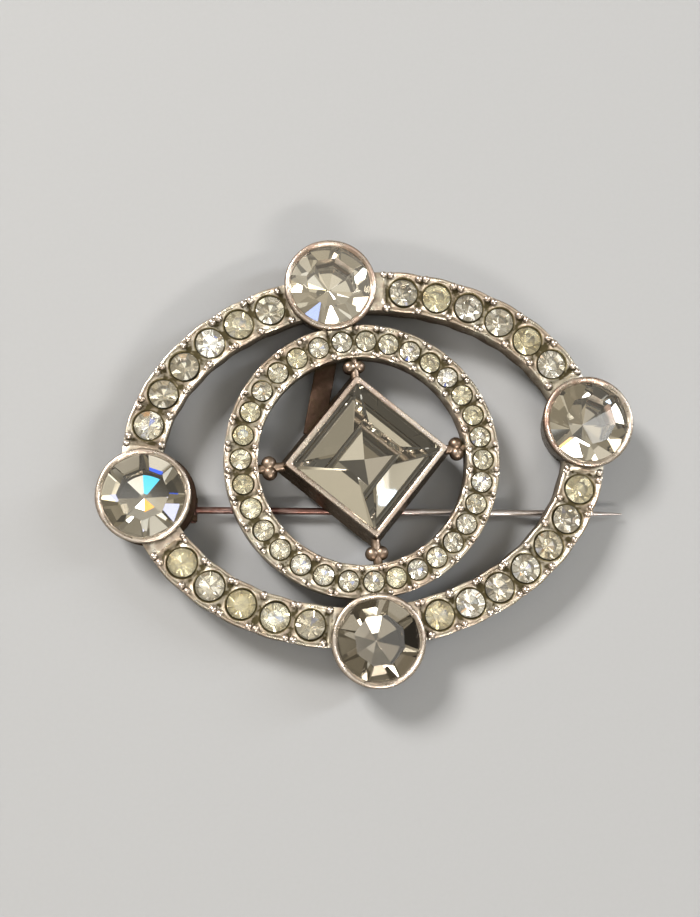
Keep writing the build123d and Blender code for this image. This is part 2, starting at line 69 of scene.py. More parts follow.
class Signal:
    """A number that varies over a surface: one node output with Python arithmetic."""

    def __init__(self, graph: "Graph", socket: bpy.types.NodeSocket) -> None:
        """Wrap an output socket of a graph."""
        self.graph = graph
        self.socket = socket

    def _math(self, operation: str, *values: "Signal | float") -> "Signal":
        """Add one Math node.

        Args:
            operation: The node's operation.
            values: What its inputs get, in order.

        Returns:
            The node's result.
        """
        node = self.graph.node("ShaderNodeMath", {"operation": operation}, dict(enumerate(values)))
        return Signal(self.graph, node.outputs[0])

    def __add__(self, other: "Signal | float") -> "Signal":
        """Add."""
        return self._math("ADD", self, other)

    def __radd__(self, other: float) -> "Signal":
        """Add to a number."""
        return self._math("ADD", other, self)

    def __sub__(self, other: "Signal | float") -> "Signal":
        """Subtract."""
        return self._math("SUBTRACT", self, other)

    def __rsub__(self, other: float) -> "Signal":
        """Subtract from a number."""
        return self._math("SUBTRACT", other, self)

    def __mul__(self, other: "Signal | float") -> "Signal":
        """Multiply."""
        return self._math("MULTIPLY", self, other)

    def __rmul__(self, other: float) -> "Signal":
        """Multiply a number."""
        return self._math("MULTIPLY", other, self)

    def clamped(self) -> "Signal":
        """Keep the value between 0 and 1."""
        return self._math("MINIMUM", self._math("MAXIMUM", self, 0.0), 1.0)

    def eased(self, low: float, high: float) -> "Signal":
        """Rise smoothly from 0 to 1.

        Args:
            low: The value that gives 0.
            high: The value that gives 1.

        Returns:
            The eased value.
        """
        sockets = {"Value": self, "From Min": low, "From Max": high}
        node = self.graph.node("ShaderNodeMapRange", {"interpolation_type": "SMOOTHSTEP"}, sockets)
        return Signal(self.graph, node.outputs["Result"])


class Graph:
    """The node tree of one finish, or of the room's light."""

    def __init__(self, owner: bpy.types.Material | bpy.types.World) -> None:
        """Start with an empty tree."""
        owner.use_nodes = True
        self.owner = owner
        self.tree = owner.node_tree
        self.tree.nodes.clear()

    @classmethod
    def finish(cls, name: str) -> "Graph":
        """Start the tree of a new finish."""
        return cls(bpy.data.materials.new(name))

    def node(
        self, kind: str, settings: dict[str, object], sockets: dict[int | str, object]
    ) -> bpy.types.Node:
        """Add one node.

        Args:
            kind: The node's type.
            settings: Its own properties, and "stops" for a ramp's positions and colours.
            sockets: Values or links for its inputs, by number or by name.

        Returns:
            The new node.
        """
        made = self.tree.nodes.new(kind)
        for key, value in settings.items():
            if key == "stops":
                while len(made.color_ramp.elements) < len(value):
                    made.color_ramp.elements.new(1.0)
                for element, (position, colour) in zip(made.color_ramp.elements, value):
                    element.position = position
                    element.color = (*colour, 1.0)
            elif key == "ramp":
                made.color_ramp.interpolation = value
            else:
                setattr(made, key, value)
        for key, value in sockets.items():
            value = value.socket if isinstance(value, Signal) else value
            if isinstance(value, bpy.types.NodeSocket):
                self.tree.links.new(value, made.inputs[key])
            else:
                made.inputs[key].default_value = value
        return made

    def place(self) -> bpy.types.NodeSocket:
        """The point on the piece, in metres."""
        return self.node("ShaderNodeTexCoord", {}, {}).outputs["Object"]

    def noise(self, place: bpy.types.NodeSocket, scale: float, detail: float = 2.0) -> Signal:
        """Add a noise pattern.

        Args:
            place: Where on the piece it is read.
            scale: How many features there are in a metre.
            detail: How many finer layers it has.

        Returns:
            The pattern, about 0.5 in the middle.
        """
        sockets = {"Vector": place, "Scale": scale, "Detail": detail}
        return Signal(self, self.node("ShaderNodeTexNoise", {}, sockets).outputs[0])

    def mix(self, share: "Signal | float", first: object, second: object) -> bpy.types.NodeSocket:
        """Mix two colours.

        Args:
            share: How much of the second there is.
            first: A colour or a link.
            second: A colour or a link.

        Returns:
            The mixed colour.
        """
        ends = [(*c, 1.0) if isinstance(c, tuple) else c for c in (first, second)]
        made = self.node("ShaderNodeMix", {"data_type": "RGBA"}, {0: share, 6: ends[0], 7: ends[1]})
        return made.outputs[2]

    def attribute(self, name: str) -> Signal:
        """Read a number that the piece's faces carry."""
        return Signal(self, self.node("ShaderNodeAttribute", {"attribute_name": name}, {}).outputs["Fac"])

    def finished(self, sockets: dict[int | str, object]) -> bpy.types.Material:
        """End the material with one Principled shader.

        Args:
            sockets: Values or links for the shader's inputs.

        Returns:
            The material.
        """
        shader = self.node("ShaderNodeBsdfPrincipled", {}, sockets)
        self.node("ShaderNodeOutputMaterial", {}, {"Surface": shader.outputs[0]})
        return self.owner


# Finishes


@dataclass(frozen=True)
class CastMetal:
    """Cast alloy worn to rose, its sides painted dark brown as shade, and its hollows tarnished olive with
    painted shade.

    The mesh may carry "hollow", from 0 on the strip's face to 1 deep in the web, and
    carries "side", from 0 where it faces up to 1 where it faces sideways or down.
    """

    name: str
    silver: Colour = (0.91, 0.84, 0.69)
    rose: Colour = (0.70, 0.51, 0.39)
    painted_side_shade: Colour = (0.055, 0.034, 0.022)
    tarnish_and_shade_colour: Colour = (0.06, 0.048, 0.02)
    rose_share: float = 0.6
    edge: Colour = (0.62, 0.56, 0.47)
    hollow_reach: float = 0.0006
    hollow_start: float = 0.22
    hollow_full: float = 0.75
    stain_share: float = 0.55
    roughness: float = 0.3
    relief: float = 0.00008

    def material(self) -> bpy.types.Material:
        """Build the finish."""
        graph = Graph.finish(self.name)
        place = graph.place()
        patches = graph.noise(place, 240.0, 3.0)
        mottle = graph.noise(place, 1300.0, 4.0)
        knobs = graph.noise(place, 2300.0, 3.0)
        # Occlusion and the web's depth darken the colour to olive black: tarnished metal, with painted shade
        # in the hollows.
        sky = graph.node("ShaderNodeAmbientOcclusion", {"samples": 6}, {"Distance": self.hollow_reach})
        occluded_shade = (1 - Signal(graph, sky.outputs["AO"])).eased(self.hollow_start, self.hollow_full)
        hollow = (occluded_shade + graph.attribute("hollow")).clamped()
        stain = (0.55 * mottle + 0.45 * knobs).eased(0.46, 0.62) * self.stain_share
        tarnish_and_shade = (hollow * (0.45 + 1.1 * mottle) + stain * (0.35 + hollow)).clamped()
        worn = (0.6 * patches + 0.4 * mottle).eased(0.42, 0.58) * self.rose_share
        # Faces turned sideways or down are painted dark brown as shade, and made less metallic.
        side = (graph.attribute("side") * (0.75 + 0.6 * mottle)).clamped()
        plated = graph.mix(side, graph.mix(worn, self.silver, self.rose), self.painted_side_shade)
        colour = graph.mix(tarnish_and_shade, plated, self.tarnish_and_shade_colour)
        height = 0.5 * mottle + 0.5 * knobs
        bump = graph.node("ShaderNodeBump", {}, {"Strength": 1.0, "Distance": self.relief, "Height": height})
        return graph.finished({
            "Base Color": colour,
            "Metallic": 1 - 0.7 * tarnish_and_shade - 0.3 * side,
            "Roughness": self.roughness + 0.24 * (mottle - 0.5) + 0.3 * tarnish_and_shade,
            "Specular Tint": (*self.edge, 1.0),
            "Normal": bump.outputs[0],
        })


@dataclass(frozen=True)
class PinWire:
    """Drawn wire, brown towards the hinge and bare and silvery towards its point."""

    name: str = "pin_wire"
    brown: Colour = (0.22, 0.115, 0.095)
    bare: Colour = (0.74, 0.68, 0.66)
    turns_at: float = 0.003
    turns_over: float = 0.008

    def material(self) -> bpy.types.Material:
        """Build the finish."""
        graph = Graph.finish(self.name)
        place = graph.place()
        along = Signal(graph, graph.node("ShaderNodeSeparateXYZ", {}, {0: place}).outputs["X"])
        spots = graph.noise(place, 900.0, 3.0)
        low, high = self.turns_at - self.turns_over / 2, self.turns_at + self.turns_over / 2
        share = (along.eased(low, high) + 0.9 * (spots - 0.5)).clamped()
        return graph.finished({
            "Base Color": graph.mix(share, self.brown, self.bare),
            "Metallic": 1.0,
            "Roughness": 0.2 + 0.3 * spots,
        })


@dataclass(frozen=True)
class GlassCrown:
    """Clear glass above a stone's girdle."""

    name: str
    tint: Colour = (0.97, 0.97, 0.96)
    ior: float = 1.6
    smear: float = 0.03

    def material(self) -> bpy.types.Material:
        """Build the finish."""
        graph = Graph.finish(self.name)
        spots = graph.noise(graph.place(), 900.0, 2.0)
        return graph.finished({
            "Base Color": (*self.tint, 1.0),
            "Transmission Weight": 1.0,
            "IOR": self.ior,
            "Roughness": self.smear * (0.3 + spots.eased(0.5, 0.8)),
        })


@dataclass(frozen=True)
class MirrorFoil:
    """The mirror foil behind a stone: clear, or yellowed and cloudy with age, some facets painted darker as
    shade.

    The faces carry "age", from 0 to 1, and a number that picks the facets painted darker as shade.
    """

    name: str
    clear: Colour = (0.97, 0.96, 0.93)
    aged: Colour = (0.88, 0.84, 0.66)
    painted_facet_shade: Colour = (0.72, 0.68, 0.60)
    glow: Colour = (0.95, 0.88, 0.74)
    painted_shade_from: float = 0.7
    roughness: float = 0.012
    cloud: float = 0.18
    painted_glow_strength: float = 0.03

    def material(self) -> bpy.types.Material:
        """Build the finish."""
        graph = Graph.finish(self.name)
        age = graph.attribute("age")
        fire = graph.attribute("fire")
        haze = graph.noise(graph.place(), 1600.0, 3.0)
        # Facets picked at random are painted darker as shade, in place of dark reflections.
        stops = [(0.0, (1.0, 1.0, 1.0)), (self.painted_shade_from, self.painted_facet_shade)]
        tints = graph.node("ShaderNodeValToRGB", {"stops": stops, "ramp": "CONSTANT"}, {0: fire})
        tinted = graph.node(
            "ShaderNodeMix", {"data_type": "RGBA", "blend_type": "MULTIPLY"},
            {0: 1.0, 6: graph.mix(age, self.clear, self.aged), 7: tints.outputs[0]},
        )
        return graph.finished({
            "Base Color": tinted.outputs[2],
            "Metallic": 1.0,
            "Roughness": (self.roughness * (0.5 + haze) + self.cloud * age * haze).clamped(),
            # The foil gives off a faint painted glow that lightens its darkest facets, though it is no lamp.
            "Emission Color": (*self.glow, 1.0),
            "Emission Strength": self.painted_glow_strength,
        })


@dataclass(frozen=True)
class StudioPaper:
    """Plain pale paper under the brooch."""

    name: str = "pale_paper"
    colour: Colour = (0.41, 0.42, 0.43)

    def material(self) -> bpy.types.Material:
        """Build the finish."""
        graph = Graph.finish(self.name)
        fibre = graph.noise(graph.place(), 2500.0, 4.0)
        darker = tuple(0.96 * c for c in self.colour)
        bump = graph.node("ShaderNodeBump", {}, {"Strength": 0.1, "Distance": 0.00002, "Height": fibre})
        return graph.finished({
            "Base Color": graph.mix(fibre, self.colour, darker), "Roughness": 0.75, "Normal": bump.outputs[0]
        })


# The bench: from a mesh under work to a finished piece


class Bench:
    """Brings meshes under work to finished pieces."""

    @staticmethod
    def deliver(
        bm: bmesh.types.BMesh, name: str, body: str, slot: str, finishes: Sequence[bpy.types.Material],
        nodes: Iterable[str] = (), sharp: float | None = 35.0,
    ) -> None:
        """Finish a mesh in millimetres about the oval's middle.

        Args:
            bm: The mesh, which is freed.
            name: The piece's name.
            body: The CAD body that it rides on.
            slot: Not used.
            finishes: Its materials, in the order of its faces' indices.
            nodes: The CAD nodes that it stands for.
            sharp: The angle in degrees past which an edge stays sharp, or None for flat facets.
        """
        bmesh.ops.recalc_face_normals(bm, faces=bm.faces)
        if sharp is not None:
            bm.normal_update()
            # Faces turned sideways or down get a number that the metal finishes use to paint them darker as
            # shade.
            side = bm.verts.layers.float.new("side")
            for vert in bm.verts:
                vert[side] = 1 - smooth(0.2, 0.65, vert.normal.z)
        bmesh.ops.translate(bm, verts=bm.verts, vec=SHIFT)
        bmesh.ops.scale(bm, verts=bm.verts, vec=(MM, MM, MM))
        mesh = bpy.data.meshes.new(name)
        bm.to_mesh(mesh)
        bm.free()
        if sharp is not None:
            mesh.shade_smooth()
            mesh.set_sharp_from_angle(angle=radians(sharp))
        for finish in finishes:
            mesh.materials.append(finish)
        piece = bpy.data.objects.new(name, mesh)
        bpy.context.scene.collection.objects.link(piece)
        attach(piece, body)
        if nodes:
            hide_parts(*nodes)
        LOG.info("%s: %d faces", name, len(mesh.polygons))

    @staticmethod
    def welded(bm: bmesh.types.BMesh, distance: float = 0.0005) -> None:
        """Merge the doubles of a mesh."""
        bmesh.ops.remove_doubles(bm, verts=bm.verts, dist=distance)

    @staticmethod
    def turned(
        bm: bmesh.types.BMesh, outline: Sequence[tuple[float, float]], steps: int, closed: bool = False
    ) -> None:
        """Turn an outline into a round piece about the Z axis.

        Args:
            bm: The mesh that gets it.
            outline: Radius and height of each point, with both ends on the axis or as a closed loop.
            steps: How many steps there are in a full turn.
            closed: Whether the outline is a closed loop.
        """
        points = [bm.verts.new((r, 0.0, z)) for r, z in outline]
        ends = points[1:] + points[:1] if closed else points[1:]
        edges = [bm.edges.new(pair) for pair in zip(points, ends)]
        bmesh.ops.spin(
            bm, geom=points + edges, cent=(0, 0, 0), axis=(0, 0, 1), dvec=(0, 0, 0),
            angle=2 * pi, steps=steps, use_merge=True, use_duplicate=False,
        )
        Bench.welded(bm)

    @staticmethod
    def bead(bm: bmesh.types.BMesh, place: Vector, radius: float, flat: float = 1.0, fine: int = 2) -> None:
        """Add a round bead.

        Args:
            bm: The mesh that gets it.
            place: Its middle.
            radius: Its radius.
            flat: Its height as a share of its width.
            fine: How many times its faces are divided.
        """
        shape = Matrix.Translation(place) @ Matrix.Diagonal((1, 1, flat, 1))
        bmesh.ops.create_icosphere(bm, subdivisions=fine, radius=radius, matrix=shape)

    @staticmethod
    def bar(bm: bmesh.types.BMesh, size: Sequence[float], place: Matrix, bevel: float) -> None:
        """Add a straight bar with softened edges.

        Args:
            bm: The mesh that gets it.
            size: Its length, width and height.
            place: Its middle and its turn.
            bevel: How much its edges are softened.
        """
        made = bmesh.ops.create_cube(bm, size=1.0, matrix=place @ Matrix.Diagonal((*size, 1)))
        Bench.softened(bm, list({edge for vert in made["verts"] for edge in vert.link_edges}), bevel)

    @staticmethod
    def softened(bm: bmesh.types.BMesh, edges: Sequence[bmesh.types.BMEdge], bevel: float) -> None:
        """Soften edges by a small round bevel."""
        bmesh.ops.bevel(bm, geom=edges, offset=bevel, segments=2, profile=0.5, affect="EDGES", material=-1)


# Stones


class Outline(Enum):
    """The outline that a stone is cut from, by the number of its sides."""

    ROUND = 48
    SQUARE = 4


class Tier(NamedTuple):
    """One tier of flat facets; a slope below the girdle is negative."""

    count: int
    first: float
    slope: float
    reach: float


@dataclass(frozen=True)
class StoneCut:
    """The sizes and facets of one kind of stone, with its table where the crown's slopes end."""

    outline: Outline
    across: float
    girdle_share: float
    table_share: float
    tiers: tuple[Tier, ...]
    table_tiers: tuple[Tier, ...] = ()

    def rise(self) -> float:
        """Height of the table over the girdle's middle."""
        crown = self.table_tiers or [tier for tier in self.tiers if tier.slope > 0]
        low = min((tier.reach - self.table_share) * tan(radians(tier.slope)) for tier in crown)
        return self.across / 2 * (self.girdle_share + low)

    def facets(self, turned: float = 0.0) -> Iterator[tuple[Vector, Vector]]:
        """Go through the facets below and beside the table.

        Args:
            turned: How far the stone is turned, in degrees.

        Yields:
            A point on each facet and the way that it faces.
        """
        half = self.across / 2
        for tier in self.tiers:
            up = 1 if tier.slope > 0 else -1
            tilt = radians(abs(tier.slope))
            for i in range(tier.count):
                turn = radians(tier.first + turned + 360 * i / tier.count)
                way = Vector((cos(turn), sin(turn), 0))
                point = way * (tier.reach * half) + Vector((0, 0, up * half * self.girdle_share))
                yield point, way * sin(tilt) + Vector((0, 0, up * cos(tilt)))

    def ground(self, seed: int) -> bpy.types.Mesh:
        """Grind the stone about its girdle's middle.

        Args:
            seed: Chooses which facets are painted darker as shade.

        Returns:
            Its mesh in millimetres, glass faces first and foil faces second.
        """
        bm = bmesh.new()
        half = self.across / 2
        corner = half * (2 ** 0.5 if self.outline is Outline.SQUARE else 1.0)
        deep = 1.2 * half
        bmesh.ops.create_cone(
            bm, cap_ends=True, segments=self.outline.value, radius1=corner, radius2=corner, depth=2 * deep
        )
        self._cut(bm, Vector((0, 0, self.rise())), Vector((0, 0, 1)))
        for point, normal in self.facets():
            self._cut(bm, point, normal)
        fire = bm.faces.layers.float.new("fire")
        chance = Random(seed)
        bmesh.ops.recalc_face_normals(bm, faces=bm.faces)
        for face in bm.faces:
            face.material_index = 0 if face.normal.z > 0.05 else 1
            face[fire] = chance.random()
        mesh = bpy.data.meshes.new("ground_stone")
        bm.to_mesh(mesh)
        bm.free()
        return mesh

    @staticmethod
    def _cut(bm: bmesh.types.BMesh, point: Vector, normal: Vector) -> None:
        """Grind one flat facet.

        Args:
            bm: The stone.
            point: A point on the facet.
            normal: The way the facet faces.
        """
        everything = bm.verts[:] + bm.edges[:] + bm.faces[:]
        made = bmesh.ops.bisect_plane(
            bm, geom=everything, dist=1e-5, plane_co=point, plane_no=normal, clear_outer=True
        )
        rim = [part for part in made["geom_cut"] if isinstance(part, bmesh.types.BMEdge)]
        if len(rim) > 2:
            bmesh.ops.contextual_create(bm, geom=rim)


ROUND_CUT = StoneCut(Outline.ROUND, 7.8, 0.04, 0.56, (Tier(8, 0.0, 34.5, 1.0), Tier(8, 2.0, -41.0, 1.0)))
BAND_CUT = StoneCut(Outline.ROUND, 2.6, 0.04, 0.5, (Tier(8, 22.5, 37.0, 1.0), Tier(8, 25.0, -41.0, 1.0)))
RING_CUT = replace(BAND_CUT, across=1.8)
SQUARE_CUT = StoneCut(Outline.SQUARE, 10.1, 0.02, 0.46, (Tier(4, 45.0, 32.0, 1.0), Tier(4, 45.0, -37.0, 1.0)))
# The room's light was set while the square stone had a taller table, and keeps to that cut
LIGHT_SQUARE_CUT = replace(SQUARE_CUT, table_tiers=(Tier(4, 45.0, 62.0, 1.0), Tier(4, 45.0, 38.0, 1.03)))


@dataclass
class SetStone:
    """One stone in its seat."""

    place: Vector
    turn: float
    tilt: float
    age: float

    def into(self, bm: bmesh.types.BMesh, ground: bpy.types.Mesh) -> None:
        """Lay a copy of a ground stone in its seat.

        Args:
            bm: The mesh that gets it.
            ground: The stone about its girdle's middle.
        """
        verts, faces = len(bm.verts), len(bm.faces)
        bm.from_mesh(ground)
        bm.verts.ensure_lookup_table()
        bm.faces.ensure_lookup_table()
        lean = Matrix.Rotation(radians(self.tilt), 4, Vector((cos(self.turn), sin(self.turn), 0)))
        matrix = Matrix.Translation(self.place) @ lean @ Matrix.Rotation(self.turn, 4, "Z")
        bmesh.ops.transform(bm, matrix=matrix, verts=bm.verts[verts:])
        age = bm.faces.layers.float.get("age") or bm.faces.layers.float.new("age")
        for face in bm.faces[faces:]:
            face[age] = self.age


# Routes that flat strips are bent along


@dataclass
class OvalRoute:
    """A stretch of the band's centre line, from one turn to another."""

    start: float
    end: float
    half_x: float = 20.55
    half_y: float = 15.6
    steps: int = 600
    turns: list[float] = field(init=False)
    lengths: list[float] = field(init=False)

    def __post_init__(self) -> None:
        """Measure the stretch."""
        end = self.end if self.end > self.start else self.end + 360
        self.turns = [self.start + (end - self.start) * i / self.steps for i in range(self.steps + 1)]
        self.lengths = [0.0]
        for a, b in zip(self.turns, self.turns[1:]):
            self.lengths.append(self.lengths[-1] + (self.point(b, 0) - self.point(a, 0)).length)

    @property
    def length(self) -> float:
        """How long the stretch is."""
        return self.lengths[-1]

    def point(self, turn: float, out: float) -> Vector:
        """A point by its turn on the oval.

        Args:
            turn: Degrees round the oval.
            out: How far outside the centre line it lies.

        Returns:
            The point.
        """
        t = radians(turn)
        normal = Vector((self.half_y * cos(t), self.half_x * sin(t), 0)).normalized()
        return Vector((self.half_x * cos(t), self.half_y * sin(t), 0)) + normal * out

    def at(self, station: float, out: float) -> Vector:
        """A point by its distance along the stretch.

        Args:
            station: The distance from the start.
            out: How far outside the centre line it lies.

        Returns:
            The point.
        """
        low, high = 0, self.steps
        while high - low > 1:
            middle = (low + high) // 2
            low, high = (middle, high) if self.lengths[middle] <= station else (low, middle)
        share = (station - self.lengths[low]) / (self.lengths[high] - self.lengths[low])
        return self.point(self.turns[low] + share * (self.turns[high] - self.turns[low]), out)


@dataclass
class RingRoute:
    """The inner ring's centre line, all the way round."""

    middle: Vector
    radius: float

    @property
    def length(self) -> float:
        """How long one round is."""
        return 2 * pi * self.radius

    def at(self, station: float, out: float) -> Vector:
        """A point by its distance along the ring.

        Args:
            station: The distance from the X axis.
            out: How far outside the centre line it lies.

        Returns:
            The point.
        """
        turn = station / self.radius
        return self.middle + Vector((cos(turn), sin(turn), 0)) * (self.radius + out)


# Strips of metal with a row of seats


def smooth(low: float, high: float, value: float) -> float:
    """Rise smoothly from 0 at low to 1 at high."""
    share = min(1.0, max(0.0, (value - low) / (high - low)))
    return share * share * (3 - 2 * share)


@dataclass
class SeatStrip:
    """A flat strip with raised edges, a row of round seats, and grains in its gaps."""

    route: OvalRoute | RingRoute
    seats: Sequence[float]
    ends: tuple[float, float] | None
    half_width: float
    back: float
    top: float
    seat_radius: float
    seat_bevel: float
    rim_width: float = 0.34
    rim_height: float = 0.16
    web_depth: float = 0.24
    web_length: float = 0.5
    web_fade: float = 0.28
    web_lap: float = 0.05
    dip_length: float = 0.42
    rim_slope: float = 0.14
    rim_round: float = 0.1
    blank_from: float = 0.1
    blank_full: float = 0.35
    pad_height: float = 0.13
    pad_slope: float = 0.3
    pad_edge: float = 0.05
    swell: float = 0.03
    swell_length: float = 1.1
    side_steps: int = 9
    reach_steps: int = 7
    chamfer: float = 0.25
    seat_depth: float = 1.4
    seat_lip: float = 0.3
    seat_shoulder: float = 0.14
    end_reach: float = 3.78

    @property
    def closed(self) -> bool:
        """True for a strip that runs all the way round."""
        return self.ends is None

    def gaps(self) -> list[float]:
        """Stations of the gaps between the seats, with the two outer ends of the row."""
        inner = [(a + b) / 2 for a, b in zip(self.seats, self.seats[1:])]
        if self.closed:
            first = (self.seats[0] + self.seats[-1] - self.route.length) / 2
            return [first, *inner, first + self.route.length]
        first = self.seats[0] - (inner[0] - self.seats[0])
        last = self.seats[-1] + (self.seats[-1] - inner[-1])
        return [first, *inner, last]

    def drop(self, station: float, out: float) -> float:
        """How far the web between the seats lies below the strip's face, in millimetres."""
        near = min(abs(station - gap) for gap in self.gaps())
        edge = self.half_width - self.rim_width
        side = 1 - smooth(edge - self.web_fade, edge + self.web_lap, abs(out))
        return self.web_depth * exp(-((near / self.web_length) ** 2)) * side * (1 - self._blank_at(station))

    def _blank_at(self, station: float) -> float:
        """1 in the stretches without seats at the strip's ends, and 0 among the seats."""
        gaps = self.gaps()
        return smooth(self.blank_from, self.blank_full, max(gaps[0] - station, station - gaps[-1]))

    def height(self, station: float, out: float) -> float:
        """Height of the strip's face.

        Args:
            station: Distance along the strip.
            out: Distance from its centre line.

        Returns:
            The height in millimetres.
        """
        side = abs(out)
        near = min(abs(station - gap) for gap in self.gaps())
        dip = exp(-((near / self.dip_length) ** 2))
        blank = self._blank_at(station)
        width, edge = self.half_width, self.half_width - self.rim_width
        rim = smooth(edge, edge + self.rim_slope, side)
        rim *= 1 - 0.5 * smooth(width - self.rim_round, width, side)
        rise = self.rim_height * rim * (1 - 0.5 * dip)
        pad = self.pad_height * (1 - smooth(width - self.pad_slope, width - self.pad_edge, side))
        return self.top + rise * (1 - blank) + pad * blank - self.drop(station, out)

    def built(self) -> bmesh.types.BMesh:
        """Build the strip flat and bend it along its route."""
        bm = bmesh.new()
        gaps = self.gaps()
        for left, seat, right in zip(gaps, self.seats, gaps[1:]):
            self._cell(bm, left, seat, right)
        if self.ends:
            first, last = self.ends
            self._blank(bm, gaps[0], lambda out: self._end(out - first))
            self._blank(bm, gaps[-1], lambda out: self.route.length - self._end(out - last))
        Bench.welded(bm)
        self._walls(bm)
        # Depth below the face, which the finish darkens with tarnished olive and painted shade.
        hollow = bm.verts.layers.float.new("hollow")
        for vert in bm.verts:
            under = max(0.0, self.top - 0.02 - vert.co.z) / self.web_depth
            vert[hollow] = min(1.0, 0.9 * under) if abs(vert.co.y) < self.half_width - 0.01 else 0.0
        for vert in bm.verts:
            vert.co = self._bent(vert.co)
        Bench.welded(bm)
        return bm

    def _end(self, off: float) -> float:
        """How far along the strip its end lies, inside the wall of the cup that stands there."""
        return (self.end_reach ** 2 - off ** 2) ** 0.5

    def _bent(self, flat: Vector) -> Vector:
        """The place on the route of a point of the flat strip."""
        near = min(self.seats, key=lambda s: abs(flat.x - s))
        wave = exp(-(((flat.x - near) / self.swell_length) ** 2))
        spot = self.route.at(flat.x, flat.y * (1 + self.swell * (2 * wave - 1)))
        return Vector((spot.x, spot.y, flat.z))

    def _cell(self, bm: bmesh.types.BMesh, left: float, seat: float, right: float) -> None:
        """Build the strip's face round one seat.

        Args:
            bm: The mesh that gets it.
            left: Station of the gap before the seat.
            seat: Station of the seat's middle.
            right: Station of the gap after the seat.
        """
        n, w = self.side_steps, self.half_width
        border = [(left + (right - left) * i / n, -w) for i in range(n)]
        border += [(right, -w + 2 * w * i / n) for i in range(n)]
        border += [(right + (left - right) * i / n, w) for i in range(n)]
        border += [(left, w - 2 * w * i / n) for i in range(n)]
        rays = len(border)
        inner = self.seat_radius
        outer = self.seat_radius + self.seat_bevel
        hollow = [
            (inner * 0.2, -self.seat_depth), (inner, -self.seat_depth), (inner, -self.seat_lip),
            (inner + self.seat_bevel * 0.35, -self.seat_shoulder),
        ]
        ways = [radians(-135) + 2 * pi * k / rays for k in range(rays)]
        rows = []
        for radius, drop in (*hollow, (outer, 0.0)):
            row = []
            for turn in ways:
                s, o = seat + radius * cos(turn), radius * sin(turn)
                z = self.height(s, o) if radius == outer else self.top + drop - 0.5 * self.drop(s, o)
                row.append(bm.verts.new((s, o, z)))
            rows.append(row)
        for step in range(1, self.reach_steps + 1):
            share = step / self.reach_steps
            row = []
            for turn, (bs, bo) in zip(ways, border):
                s = (seat + outer * cos(turn)) * (1 - share) + bs * share
                o = outer * sin(turn) * (1 - share) + bo * share
                row.append(bm.verts.new((s, o, self.height(s, o))))
            rows.append(row)
        for number, (a, b) in enumerate(zip(rows, rows[1:])):
            for k in range(rays):
                m = (k + 1) % rays
                face = bm.faces.new((a[k], a[m], b[m], b[k]))
                face.material_index = 1 if number < len(hollow) else 0
        bm.faces.new(rows[0]).material_index = 1

    def _blank(self, bm: bmesh.types.BMesh, gap: float, end: Callable[[float], float]) -> None:
        """Build a stretch of the strip's face without seats.

        Args:
            bm: The mesh that gets it.
            gap: Station where the row of seats ends.
            end: Station of the strip's end, by the distance from its centre line.
        """
        steps = max(2, round(abs(end(0.0) - gap) / 0.2))
        grid = bmesh.ops.create_grid(bm, x_segments=steps, y_segments=self.side_steps, size=0.5)
        for vert in grid["verts"]:
            o = 2 * self.half_width * vert.co.y
            s = gap + (end(o) - gap) * (vert.co.x + 0.5)
            vert.co = Vector((s, o, self.height(s, o)))

    def _walls(self, bm: bmesh.types.BMesh) -> None:
        """Add the strip's sides and back, and its ends if it has any."""
        chains = []
        for side in (1, -1):
            edge_at = side * self.half_width
            border = [edge for edge in bm.edges if edge.is_boundary]
            chain = [edge for edge in border if all(abs(v.co.y - edge_at) < 1e-3 for v in edge.verts)]
            for low, inset in ((self.back + self.chamfer, 0.0), (self.back, self.chamfer)):
                made = bmesh.ops.extrude_edge_only(bm, edges=chain)["geom"]
                chain = [part for part in made if isinstance(part, bmesh.types.BMEdge)]
                for vert in {v for e in chain for v in e.verts}:
                    vert.co.z = low
                    vert.co.y = side * (self.half_width - inset)
            chains += chain
        bmesh.ops.bridge_loops(bm, edges=chains)
        if self.ends:
            bmesh.ops.holes_fill(bm, edges=[e for e in bm.edges if e.is_boundary], sides=0)


@dataclass
class Grains:
    """Round grains in the gaps of a strip, along both of its edges."""

    strip: SeatStrip
    radius: float
    pair_spread: float
    seed: int
    cups: dict[str, "RoundCup"]
    inner_pairs: float = 0.35
    sizes: tuple[float, float] = (0.85, 1.12)
    wander: float = 0.06
    overlap: float = 0.7
    above: float = 0.04
    flat: float = 0.9

    def built(self) -> bmesh.types.BMesh:
        """Set every grain that stands clear of the cups."""
        bm = bmesh.new()
        chance = Random(self.seed)
        gaps = self.strip.gaps()
        gaps = gaps[:-1] if self.strip.closed else gaps
        across = self.strip.half_width - self.strip.rim_width
        spread = self.pair_spread
        for gap in gaps:
            spots = [(gap - spread, across, 0.95), (gap + spread, across, 0.95)]
            if chance.random() < self.inner_pairs:
                spots += [(gap - spread * 0.8, -across, 0.85), (gap + spread * 0.8, -across, 0.8)]
            else:
                spots.append((gap, -across, 1.1))
            for station, out, size in spots:
                radius = self.radius * size * chance.uniform(*self.sizes)
                spot = self.strip.route.at(station, out + chance.uniform(-self.wander, self.wander))
                inside = self.overlap * radius
                if all((spot - cup.middle).length > cup.rim_radius + inside for cup in self.cups.values()):
                    Bench.bead(bm, Vector((spot.x, spot.y, self.strip.top + self.above)), radius, self.flat)
        return bm


# Sub-assemblies


@dataclass(frozen=True)
class Metals:
    """The finishes of the metal pieces."""

    cast: bpy.types.Material
    seat: bpy.types.Material
    grain: bpy.types.Material
    rim: dict[str, bpy.types.Material]
    joint: bpy.types.Material
    back: bpy.types.Material
    wire: bpy.types.Material


@dataclass(frozen=True)
class Glass:
    """The two finishes of a stone."""

    crown: bpy.types.Material
    foil: bpy.types.Material


